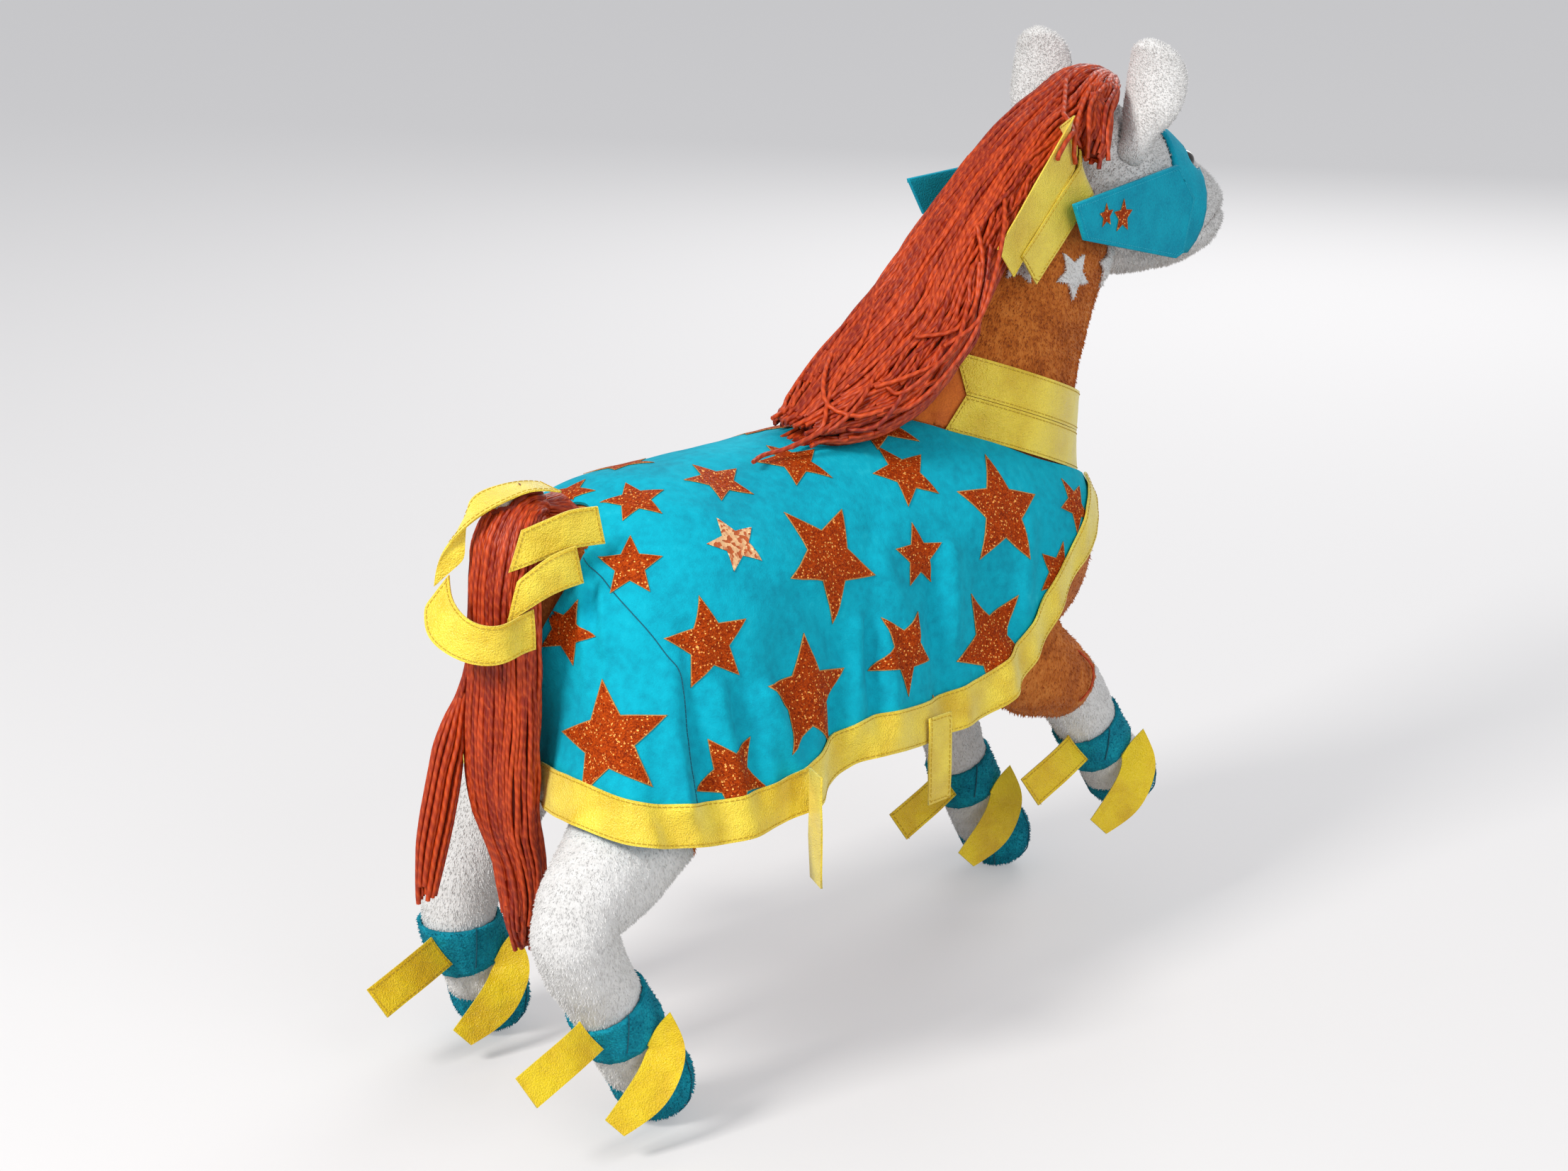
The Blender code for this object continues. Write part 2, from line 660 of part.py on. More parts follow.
def blanket_side(hem_rows, hand):
    """The grid of points of one half of the blanket: one row for each line from ridge to edge."""
    first_ridge, last_ridge = (share * BODY_LENGTH for share in RIDGE_SHARES)
    ridges = [first_ridge + (last_ridge - first_ridge) * i / (HOOPS - 1) for i in range(HOOPS)]
    hems = []
    for i in range(HOOPS):
        x, y, z = smooth_row(hem_rows, i / (HOOPS - 1))
        hems.append(Vector((x * BODY_LENGTH, hand * y * BODY_WIDTH, z * BACK_HEIGHT)))
    lines = []
    for i in range(STRAIGHT_HOOPS + 1):
        hole = hand * TAIL_HOLE_SHARE * max(1 - i / 5, 0) ** 2
        lines.append(resample(side_path(hems[i], ridges[i], hole), RIBBON_WIDTH, DROPS))
    turns = [hand * (pi + (COLLAR_FRONT_TURN - pi) * k / (2 * PATH_STEPS)) for k in range(2 * PATH_STEPS + 1)]
    collar_line = [collar_point(t, -BLANKET_CLOTH, CLOTH_GAP) for t in turns]
    collar_line = resample(collar_line, RIBBON_WIDTH, DROPS)
    base = lines[-1]
    for i in range(STRAIGHT_HOOPS + 1, HOOPS):
        share = (i - STRAIGHT_HOOPS) / (HOOPS - 1 - STRAIGHT_HOOPS)
        top = seat_cloth(Vector((ridges[i], 0, BACK_HEIGHT)))
        line = []
        for k in range(DROPS + 1):
            w = k / DROPS
            point = base[k].lerp(collar_line[k], share)
            point += (top - base[0].lerp(collar_line[0], share)) * (1 - w) * (1 - share)
            point += (hems[i] - base[-1].lerp(collar_line[-1], share)) * w * w * (1 - share)
            line.append(point)
        lines.append([seat_cloth(p) for p in line[:-2]] + line[-2:] if i < HOOPS - 1 else collar_line)
    for i, line in enumerate(lines[:-1]):
        for k, point in enumerate(line):
            depth = FOLD_SHARES[i] * FOLD_DEPTH * (k / DROPS) ** 2
            heart = axis_point(point)
            away = (point - heart) * Vector((1, 1, 0))
            if depth:
                point = point + away.normalized() * depth
            line[k] = push_out(point, heart, cloth_trees, CLOTH_GAP)
    return lines


def ease_off(grid, bodies):
    """Moves a sheet's points out wherever a body would show through between them."""
    wide = len(grid[0])
    faces = []
    for i in range(len(grid) - 1):
        for k in range(wide - 1):
            a = i * wide + k
            faces.append((a, a + 1, a + wide + 1))
            faces.append((a, a + wide + 1, a + wide))
    for _ in range(EASE_ROUNDS):
        points = [p for row in grid for p in row]
        tree = BVHTree.FromPolygons(points, faces)
        shifts = [0] * len(points)
        for body in bodies:
            for vertex in body.verts:
                heart = axis_point(vertex.co)
                reach = vertex.co - heart
                place, normal, index, distance = tree.ray_cast(heart, reach.normalized(), LOOK)
                short = reach.length + EASE_GAP - distance if place is not None else 0
                for k in faces[index] if short > 0 else ():
                    shifts[k] = max(shifts[k], short)
        for k, shift in enumerate(shifts):
            heart = axis_point(points[k])
            grid[k // wide][k % wide] = points[k] + (points[k] - heart).normalized() * shift


EASE_ROUNDS = 6
EASE_GAP = 0.0007
right_cloth = blanket_side(RIGHT_HEM_SHARES, -1)
left_cloth = blanket_side(LEFT_HEM_SHARES, 1)
cloth_grid = [list(reversed(r)) + l[1:] for r, l in zip(right_cloth, left_cloth)]
fine_torso = torso_form.body(0, 1, 2 * TORSO_SIDES, 20, RUMP_CAP, CHEST_CAP, 0, 10)
ease_off(cloth_grid, [fine_torso, torso_body(), neck_body()] + leg_bodies)
cloth_normals = grid_normals(cloth_grid)
cloth_sign = 1 if cloth_normals[HOOPS // 2][DROPS].z > 0 else -1
for row, normals in zip(cloth_grid, cloth_normals):
    for k, point in enumerate(row):
        outward = (point - axis_point(point)).normalized()
        normals[k] = (normals[k] * cloth_sign + outward).normalized()


def over_cloth(columns, low, high):
    """A sheet over some columns of the blanket, between two distances over its outer face."""
    grids = []
    for offset in (BLANKET_CLOTH + low, BLANKET_CLOTH + high):
        grids.append([[row[c] + n[c] * offset for c in columns] for row, n in zip(cloth_grid, cloth_normals)])
    return grids


whole_width = range(2 * DROPS + 1)
blanket = add("blanket", slab(*over_cloth(whole_width, -BLANKET_CLOTH, 0)), TURQUOISE, 0.8)
cloth_tree = tree_of(slab(*over_cloth(whole_width, 0, GAP)))
hem_trees = {}
for side, columns in (("right", (0, 1)), ("left", (2 * DROPS - 1, 2 * DROPS))):
    grids = over_cloth(columns, GAP, GAP + RIBBON_CLOTH)
    hem_trees[side] = tree_of(slab(*grids))
    add("hem_ribbon_" + side, slab(*grids), SATIN, 0.35)

# Collar: a lining round the foot of the neck, and two ribbons on it that stay apart over the back
COLLAR_TURNS = 28
UPPER_END_SHARES = (0.800, 0.857)
LOWER_END_SHARES = (0.830, 0.800)
COLLAR_SEAM_SHARE = 0.51
COLLAR_FOOT_SHARE = 0.02
lining_low = CURVE_GAP
lining_high = lining_low + COLLAR_CLOTH
lining_turns = [2 * pi * k / COLLAR_TURNS for k in range(COLLAR_TURNS)]
lining_rises = (COLLAR_FOOT_SHARE, COLLAR_SEAM_SHARE, 1)
lining_rows = []
for offset, rises in ((lining_high, lining_rises), (lining_low, reversed(lining_rises))):
    for rise_share in rises:
        lining_rows.append([collar_point(t, rise_share * COLLAR_HEIGHT, offset) for t in lining_turns])
lining = add("collar_lining", loop_skin(lining_rows), ORANGE, 0.7)
combine(lining, torso_space)
combine(lining, neck_space)


def collar_ribbon(start_share, end_share, end_turns):
    """A ribbon round the front of the collar between two heights; its ends stop short of the back."""
    whole = int(min(end_turns) * COLLAR_TURNS / 2)
    middle_turns = [2 * pi * k / COLLAR_TURNS for k in range(-whole, whole + 1)]
    grids = []
    for offset in (lining_high + GAP * 2, lining_high + GAP * 2 + RIBBON_CLOTH):
        columns = []
        for share, end_turn in ((start_share, end_turns[0]), (end_share, end_turns[1])):
            turns = [-end_turn * pi] + middle_turns + [end_turn * pi]
            columns.append([collar_point(t, share * COLLAR_HEIGHT, offset) for t in turns])
        grids.append([list(pair) for pair in zip(*columns)])
    return slab(*grids)


seam_share = GAP / COLLAR_HEIGHT
lower_collar = collar_ribbon(COLLAR_FOOT_SHARE, COLLAR_SEAM_SHARE - seam_share, LOWER_END_SHARES)
add("collar_ribbon_lower", lower_collar, SATIN, 0.35)
add("collar_ribbon_upper", collar_ribbon(COLLAR_SEAM_SHARE, 1, UPPER_END_SHARES), SATIN, 0.35)
collar_reach = lining_high + GAP * 2 + RIBBON_CLOTH + CURVE_GAP
plug_rows = []
for rise_share in (-0.05, 0.5, 1.05):
    plug_rows.append([collar_point(t, rise_share * COLLAR_HEIGHT, collar_reach) for t in lining_turns])
collar_space = hide_tool("collar_space", skin(plug_rows))

# Mane: the thick bundle of yarn along the crest, from the poll to the withers
# Each row is a place ahead, beside and over the back, a half width and a half depth
MANE_SHARES = (
    (0.527, 0.000, 1.146, 0.156, 0.104),
    (0.488, -0.031, 1.146, 0.208, 0.135),
    (0.447, -0.083, 1.100, 0.250, 0.146),
    (0.325, -0.125, 0.915, 0.260, 0.167),
    (0.218, -0.156, 0.662, 0.292, 0.188),
    (0.132, -0.167, 0.408, 0.344, 0.208),
    (0.078, -0.156, 0.254, 0.385, 0.219),
    (0.008, -0.125, 0.131, 0.365, 0.188),
    (-0.052, -0.083, 0.062, 0.260, 0.115),
)
MANE_SIDES = 20
MANE_STEPS = 20


def mane_station(row):
    ahead, beside, above, width_share, depth_share = row
    share = MANE_WIDTH / NECK_WIDTH / MANE_DEFAULT_SHARE
    place = (ahead * BODY_LENGTH, beside * NECK_WIDTH, BACK_HEIGHT + above * NECK_LENGTH)
    return (*place, width_share * NECK_WIDTH * share, depth_share * NECK_WIDTH * share)


MANE_DEFAULT_SHARE = 0.625
mane_form = Form([mane_station(row) for row in MANE_SHARES])
cloth_reach = CLOTH_GAP + BLANKET_CLOTH + GAP
blanket_space = hide_tool("blanket_space", torso_body(cloth_reach))


def mane_body(grow=0):
    return mane_form.body(0, 1, MANE_SIDES, MANE_STEPS, MANE_WIDTH / 6, MANE_WIDTH / 6, grow)


mane_tree = tree_of(mane_body())
mane_space = hide_tool("mane_space", mane_body(GAP))
mane = add("mane", mane_body(), YARN, 0.6)
for tool in (neck_space, head_space, blanket_space, collar_space):
    combine(mane, tool)


def head_place(row):
    """A place by the head, from shares ahead of, beside and above the top of the neck."""
    ahead, beside, above = row[:3]
    return Vector((POLL.x + ahead * HEAD_LENGTH, beside * HEAD_WIDTH, POLL.z + above * HEAD_LENGTH))


# Ears: each is a curled leaf on a round root that turns in the head
# Each row is ahead, beside and above, a half width, a half thickness and how far it curls
EAR_SHARES = (
    (0.000, 0.000, 0.000, 0.240, 0.720, 0.000),
    (0.060, 0.020, 0.140, 0.270, 0.660, 0.000),
    (0.140, 0.050, 0.330, 0.430, 0.560, 0.040),
    (0.200, 0.060, 0.530, 0.490, 0.500, 0.080),
    (0.210, 0.060, 0.720, 0.460, 0.440, 0.080),
    (0.180, 0.050, 0.870, 0.360, 0.380, 0.040),
    (0.150, 0.040, 0.950, 0.200, 0.300, 0.000),
)
EAR_ROOT_SHARES = (0.408, 0.417, 0.428)
EAR_BROAD_SHARES = {"left": (0.350, -0.940), "right": (0.250, -0.970)}
EAR_SWINGS = (radians(-5), radians(4), radians(12), radians(20))
EAR_SIDES = 14
EAR_STEPS = 10


def ear_rings(root, broad, hand):
    """Closed sections of an ear from its root to near its tip."""
    rings = []
    side = Vector((broad[0], broad[1], 0)).normalized()
    for i in range(EAR_STEPS + 1):
        share = i / EAR_STEPS
        ahead, beside, above, half_width, half_thick, curl = smooth_row(EAR_SHARES, share)
        later = smooth_row(EAR_SHARES, share + 1 / EAR_STEPS)
        sooner = smooth_row(EAR_SHARES, share - 1 / EAR_STEPS)
        along = Vector((later[0] - sooner[0], hand * (later[1] - sooner[1]), later[2] - sooner[2])).normalized()
        face = side.cross(along).normalized()
        middle = root + Vector((ahead, hand * beside, above)) * EAR_LENGTH
        ring = []
        for k in range(EAR_SIDES):
            a = 2 * pi * k / EAR_SIDES
            lift = half_thick * EAR_THICKNESS * sin(a) - curl * EAR_LENGTH * cos(a) ** 2
            ring.append(middle + side * (half_width * EAR_WIDTH * cos(a)) + face * lift)
        rings.append(ring)
    return rings


EAR_BALL_SHARE = 0.245
ear_sockets = []
for side, hand in (("left", 1), ("right", -1)):
    ahead, beside, above = EAR_ROOT_SHARES
    root = head_place((ahead, hand * beside, above))
    rings = ear_rings(root, EAR_BROAD_SHARES[side], hand)
    middle = sum(rings[0], Vector()) / EAR_SIDES
    down = (middle - sum(rings[1], Vector()) / EAR_SIDES).normalized()
    ball = EAR_BALL_SHARE * EAR_WIDTH
    caps = []
    for k in (2, 1):
        turn = pi / 2 * k / 3
        caps.append([middle + (p - middle) * cos(turn) + down * (ball * sin(turn)) for p in rings[0]])
    tip = sum(rings[-1], Vector()) / EAR_SIDES + Vector((0, 0, EAR_THICKNESS / 4))
    pivot = pivot_at("ear_pivot_" + side, root)
    ear = add("ear_" + side, skin(caps + rings, middle + down * ball, tip), WHITE, 0.9, pivot)
    swing = bmesh.new()
    for turn in EAR_SWINGS:
        spin = Matrix.Rotation(turn, 3, "Y")
        for ring in caps + rings[:4]:
            for p in ring:
                q = spin @ (p - root)
                swing.verts.new(root + q + q.normalized() * GAP * 2)
        q = spin @ (down * ball)
        swing.verts.new(root + q + q.normalized() * GAP * 2)
    hull = bmesh.ops.convex_hull(swing, input=swing.verts)
    loose = [v for v in swing.verts if not v.link_faces]
    bmesh.ops.delete(swing, geom=loose, context="VERTS")
    socket = hide_tool("ear_socket_" + side, swing)
    combine(head, socket)
    combine(mane, socket)
    ear_sockets.append(socket)

# Forelock: yarn that falls from between the ears to the right
FORELOCK_SHARES = (
    (0.548, 0.036, 0.753, 0.131, 0.083),
    (0.327, -0.131, 0.788, 0.131, 0.095),
    (0.094, -0.345, 0.660, 0.143, 0.095),
    (-0.057, -0.476, 0.498, 0.119, 0.071),
)
FORELOCK_ACROSS_SHARES = (-0.630, 0.680, 0.300)


def forelock_station(row):
    return (*head_place(row), row[3] * HEAD_WIDTH, row[4] * HEAD_WIDTH)


forelock_form = Form([forelock_station(row) for row in FORELOCK_SHARES], FORELOCK_ACROSS_SHARES)
FORELOCK_CAP = HEAD_WIDTH / 14
forelock = add("forelock", forelock_form.body(0, 1, 14, 8, FORELOCK_CAP, FORELOCK_CAP), YARN, 0.6)
forelock_space = hide_tool("forelock_space", forelock_form.body(0, 1, 14, 8, FORELOCK_CAP, FORELOCK_CAP, GAP))
for tool in [head_space, mane_space] + ear_sockets:
    combine(forelock, tool)

# Mask: cloth round the face behind the muzzle, with an almond hole for each eye
MASK_START_SHARE = 0.27
MASK_END_SHARE = 0.70
MASK_REACH = radians(38)
MASK_STEPS = 6
MASK_TURNS = 18
EYE_SHARES = (1.059, 0.000, 0.149)
EYE_LOOK_SHARES = (0.30, 0.80, 0.42)
HOLE_WIDTH_SHARE = 0.80
HOLE_HEIGHT_SHARE = 1.35
mask_grid = []
for i in range(MASK_STEPS + 1):
    share = MASK_START_SHARE + (MASK_END_SHARE - MASK_START_SHARE) * i / MASK_STEPS
    angles = [-MASK_REACH + (pi + 2 * MASK_REACH) * k / MASK_TURNS for k in range(MASK_TURNS + 1)]
    mask_grid.append([head_form.point(share, a, GAP) for a in angles])
mask = add("mask", thick_sheet(mask_grid, GAP, GAP + MASK_CLOTH, Vector((0, 0, 1))), TURQUOISE, 0.8)
combine(mask, head_space)


def ball(middle, radius, rings=8, sides=14):
    """A sphere."""
    rows = []
    for i in range(1, rings):
        tilt = pi * i / rings
        wide = radius * sin(tilt)
        turns = [2 * pi * k / sides for k in range(sides)]
        rows.append([middle + Vector((wide * cos(a), wide * sin(a), radius * cos(tilt))) for a in turns])
    return skin(rows, middle + Vector((0, 0, radius)), middle - Vector((0, 0, radius)))


for side, hand in (("left", 1), ("right", -1)):
    heart = head_place(EYE_SHARES)
    look = Vector((EYE_LOOK_SHARES[0], hand * EYE_LOOK_SHARES[1], EYE_LOOK_SHARES[2])).normalized()
    seat = nearest_hit([head_tree], heart + look * LOOK, heart)
    across = look.cross(Vector((0, 0, 1))).normalized()
    rise = across.cross(look).normalized()
    eye = add("eye_" + side, ball(seat - look * EYE_DIAMETER / 5, EYE_DIAMETER / 2), BLACK, 0.15)
    combine(eye, head_space)
    prism = []
    for depth in (-EYE_DIAMETER / 2, EYE_DIAMETER):
        ring = []
        for k in range(14):
            a = 2 * pi * k / 14
            wide = across * (EYE_DIAMETER * HOLE_WIDTH_SHARE * cos(a))
            tall = rise * (EYE_DIAMETER * HOLE_HEIGHT_SHARE / 2 * sin(a) * (1 - abs(cos(a)) / 4))
            ring.append(seat + look * depth + wide + tall)
        prism.append(ring)
    combine(mask, hide_tool("eye_hole_" + side, skin(prism)))


def plate(outline, thickness, inward):
    """A flat panel with its outer face on an outline of points, in order round it."""
    body = bmesh.new()
    front = [body.verts.new(p) for p in outline]
    back = [body.verts.new(p + inward * thickness) for p in outline]
    body.faces.new(front)
    body.faces.new(list(reversed(back)))
    for i in range(len(front)):
        j = (i + 1) % len(front)
        body.faces.new((front[i], back[i], back[j], front[j]))
    return body


# Blinkers: stiff felt panels beside the face, each hinged where it is sewn to the mask
# Each row is a corner: a share of the panel's length behind the hinge, and of its height above it
BLINKER_CORNER_SHARES = (
    (0.000, 0.000), (0.150, 0.430), (1.000, 0.280), (0.908, -0.150), (0.150, -0.640), (0.085, -0.600),
)
BLINKER_HINGE_SHARES = (0.943, 0.091)
BLINKER_SPLAY = radians(7.5)
for side, hand in (("left", 1), ("right", -1)):
    ahead, above = BLINKER_HINGE_SHARES
    spot = head_place((ahead, 0, above))
    hit = nearest_hit([head_tree], spot + Vector((0, hand * LOOK, 0)), spot)
    axis_place = hit + Vector((0, hand * (GAP + GAP + MASK_CLOTH + CURVE_GAP + BLINKER_FELT / 2), 0))
    pivot = pivot_at("blinker_pivot_" + side, axis_place)
    back = Vector((-cos(BLINKER_SPLAY), hand * sin(BLINKER_SPLAY), 0))
    out = Vector((sin(BLINKER_SPLAY), hand * cos(BLINKER_SPLAY), 0))
    corners = []
    for along_share, up_share in BLINKER_CORNER_SHARES:
        corner = back * (along_share * BLINKER_LENGTH) + Vector((0, 0, up_share * BLINKER_HEIGHT))
        corners.append(axis_place + corner + out * (BLINKER_FELT / 2))
    add("blinker_" + side, plate(corners, BLINKER_FELT, -out), TURQUOISE, 0.8, pivot)

# Cheek ribbons: two on the right side, from under the forelock down beside the neck
CHEEK_SHARES = (
    (-0.208, -0.524, 0.637, -0.917, -0.571, -0.049),
    (-0.045, -0.536, 0.451, -0.720, -0.577, -0.119),
)
CHEEK_ACROSS_SHARES = (0.300, 0, -0.390)
CHEEK_STEPS = 8
CHEEK_LIFT_SHARE = 0.5
SIDEWAYS = Vector((0, 1, 0))
face_trees = [neck_tree, head_tree, mane_tree]
for name, row in zip(("front", "back"), reversed(CHEEK_SHARES)):
    half = [share * RIBBON_WIDTH for share in CHEEK_ACROSS_SHARES]
    grid = ribbon_grid(((*head_place(row[:3]), *half), (*head_place(row[3:]), *half)), CHEEK_STEPS)
    grid = rest_on(grid, face_trees, SIDEWAYS, CLOTH_GAP, [1, CHEEK_LIFT_SHARE] + [0] * (CHEEK_STEPS - 1))
    cheek = add("cheek_ribbon_" + name, thick_sheet(grid, 0, RIBBON_CLOTH, -SIDEWAYS), SATIN, 0.35)
    combine(cheek, mane_space)
    combine(cheek, neck_space)
    combine(cheek, forelock_space)

# Neck stars: a white patch on each side of the neck
STAR_POINTS = 5
STAR_INNER_SHARE = 0.45
NECK_STAR_SHARES = (-0.197, -0.476, -0.223)


def star_outline(middle, across, rise, radius, turn=0):
    """The corners of a five-pointed star, point and notch in turn."""
    corners = []
    for k in range(2 * STAR_POINTS):
        a = pi / 2 + turn + pi * k / STAR_POINTS
        reach = radius * (STAR_INNER_SHARE if k % 2 else 1)
        corners.append(middle + across * (reach * cos(a)) + rise * (reach * sin(a)))
    return corners


for side, hand in (("left", 1), ("right", -1)):
    middle = head_place(NECK_STAR_SHARES) * Vector((1, -hand, 1))
    corners = star_outline(middle, Vector((1, 0, 0)), Vector((0, 0, 1)), PATCH_WIDTH / 2)
    points = [nearest_hit([neck_tree], p + SIDEWAYS * hand * LOOK, p - SIDEWAYS * hand * LOOK) for p in corners + [middle]]
    body = bmesh.new()
    faces = []
    for offset in (CURVE_GAP / 2, CURVE_GAP / 2 + PATCH_CLOTH):
        faces.append([body.verts.new(p + SIDEWAYS * hand * offset) for p in points])
    under, over = faces
    for k in range(2 * STAR_POINTS):
        j = (k + 1) % (2 * STAR_POINTS)
        body.faces.new((under[k], under[j], under[-1]))
        body.faces.new((over[j], over[k], over[-1]))
        body.faces.new((under[k], over[k], over[j]))
        body.faces.new((under[k], over[j], under[j]))
    add("neck_star_" + side, body, WHITE, 0.9)

# Tail: a dock that turns in the rump, and the yarn gathered round it
TAIL_PIVOT_SHARES = (-0.462, 0.955)
TAIL_LIFT = radians(30)
tail_place = Vector((TAIL_PIVOT_SHARES[0] * BODY_LENGTH, 0, TAIL_PIVOT_SHARES[1] * BACK_HEIGHT))
tail_pivot = pivot_at("tail_pivot", tail_place)


def tail_station(row):
    ahead, beside, above, width_share, depth_share = row
    place = tail_place + Vector((ahead * TAIL_DROP, beside * TAIL_WIDTH, above * TAIL_DROP))
    return (*place, width_share * TAIL_WIDTH, depth_share * TAIL_WIDTH)


# Each row is ahead of, beside and above the pivot, a half width and a half depth
TAIL_SHARES = (
    (-0.058, 0.000, 0.058, 0.237, 0.211),
    (-0.126, -0.053, 0.058, 0.368, 0.289),
    (-0.189, -0.132, -0.021, 0.500, 0.342),
    (-0.211, -0.211, -0.189, 0.526, 0.342),
    (-0.216, -0.184, -0.374, 0.553, 0.342),
    (-0.218, -0.132, -0.532, 0.579, 0.342),
    (-0.211, -0.132, -0.663, 0.526, 0.316),
    (-0.184, -0.237, -0.816, 0.368, 0.263),
    (-0.184, -0.237, -0.947, 0.289, 0.237),
    (-0.179, -0.237, -1.021, 0.158, 0.158),
)
LOCK_SHARES = (
    (-0.274, 0.421, -0.463, 0.211, 0.184),
    (-0.305, 0.447, -0.611, 0.237, 0.211),
    (-0.337, 0.500, -0.768, 0.211, 0.211),
    (-0.358, 0.526, -0.905, 0.132, 0.132),
)
tail_form = Form([tail_station(row) for row in TAIL_SHARES])
lock_form = Form([tail_station(row) for row in LOCK_SHARES])
dock_half = TAIL_DOCK_WIDTH / 2
DOCK_REACH_SHARE = 0.170
DOCK_RISE = radians(25)
dock_out = Vector((-cos(DOCK_RISE), 0, sin(DOCK_RISE)))
dock_end = tail_place + dock_out * (DOCK_REACH_SHARE * TAIL_DROP)
dock_form = Form([(*tail_place, dock_half, dock_half), (*dock_end, dock_half, dock_half)])


def dock_body(grow=0):
    return dock_form.body(0, 1, 14, 2, dock_half, dock_half, grow)


dock = add("tail_dock", dock_body(), WHITE, 0.9, tail_pivot)
dock_space = hide_tool("tail_dock_space", dock_body(GAP))
socket_points = bmesh.new()
for k in range(5):
    spin = Matrix.Rotation(TAIL_LIFT * k / 4, 3, "Y")
    reach = dock_half + GAP * 2
    for share in (0, 1):
        middle = tail_place + spin @ (dock_out * (DOCK_REACH_SHARE * TAIL_DROP * share))
        sphere = ball(middle, reach)
        for v in sphere.verts:
            socket_points.verts.new(v.co)
        sphere.free()
bmesh.ops.convex_hull(socket_points, input=socket_points.verts)
bmesh.ops.delete(socket_points, geom=[v for v in socket_points.verts if not v.link_faces], context="VERTS")
combine(torso, hide_tool("tail_socket", socket_points))
tail_mesh = tail_form.body(0, 1, 18, 18, 0, TAIL_WIDTH / 8)
tail_tree = tree_of(tail_mesh)
tail_yarn = add("tail_yarn", tail_mesh, YARN, 0.6, tail_pivot)
combine(tail_yarn, dock_space)
tail_space = hide_tool("tail_space", tail_form.body(0, 1, 18, 18, 0, TAIL_WIDTH / 8, GAP))
tail_lock = add("tail_lock", lock_form.body(0, 1, 10, 6, TAIL_WIDTH / 8, TAIL_WIDTH / 8), YARN, 0.6, tail_pivot)
combine(tail_lock, tail_space)

# Tail ribbons: two loops and two ends round the top of the tail
# Each row is a place by the pivot and half the ribbon's width there
TAIL_RIBBON_SHARES = {
    "loop_upper": (
        (-0.063, -0.263, 0.105, 0.053, 0.237, 0.000),
        (-0.142, -0.132, 0.116, 0.053, 0.237, 0.000),
        (-0.242, 0.079, 0.079, 0.105, 0.158, 0.079),
        (-0.289, 0.211, 0.005, 0.132, -0.079, 0.184),
        (-0.305, 0.211, -0.074, 0.158, -0.105, 0.158),
    ),
    "loop_lower": (
        (-0.342, 0.211, -0.111, 0.132, -0.079, 0.184),
        (-0.368, 0.000, -0.168, 0.132, -0.079, 0.211),
        (-0.358, -0.421, -0.205, 0.053, -0.053, 0.237),
        (-0.305, -0.711, -0.211, 0.026, 0.000, 0.237),
        (-0.211, -0.684, -0.189, 0.000, 0.000, 0.237),
    ),
    "end_upper": (
        (-0.232, -0.553, -0.005, 0.105, 0.000, 0.237),
        (-0.158, -0.684, 0.016, 0.053, 0.000, 0.237),
        (-0.095, -0.789, 0.032, 0.000, 0.000, 0.237),
        (-0.021, -0.895, 0.032, -0.053, 0.000, 0.237),
    ),
    "end_lower": (
        (-0.258, -0.632, -0.121, 0.079, 0.000, 0.237),
        (-0.232, -0.711, -0.100, 0.053, 0.000, 0.237),
        (-0.168, -0.842, -0.063, 0.000, 0.000, 0.237),
        (-0.100, -0.947, -0.047, -0.053, 0.000, 0.237),
    ),
}
TAIL_RIBBON_STEPS = 10
TAIL_MARKS = 40
tail_marks = [tail_form.at(i / TAIL_MARKS)[0] for i in range(TAIL_MARKS + 1)]
for name, table in TAIL_RIBBON_SHARES.items():
    rows = []
    for ahead, beside, above, *half in table:
        place = tail_place + Vector((ahead * TAIL_DROP, beside * TAIL_WIDTH, above * TAIL_DROP))
        rows.append((*place, *[share * TAIL_WIDTH for share in half]))
    grid = ribbon_grid(rows, TAIL_RIBBON_STEPS, 4)
    over = RIBBON_CLOTH + GAP if name == "end_lower" else 0
    for row in grid:
        hearts = [min(tail_marks, key=lambda mark: (mark - p).length) for p in row]
        row[:] = [push_out(p, heart, [tail_tree], CURVE_GAP + over) for p, heart in zip(row, hearts)]
    facing = Vector((0, 0, 1)) if name == "loop_upper" else -SIDEWAYS
    add("tail_ribbon_" + name, thick_sheet(grid, 0, RIBBON_CLOTH, facing), SATIN, 0.35, tail_pivot)

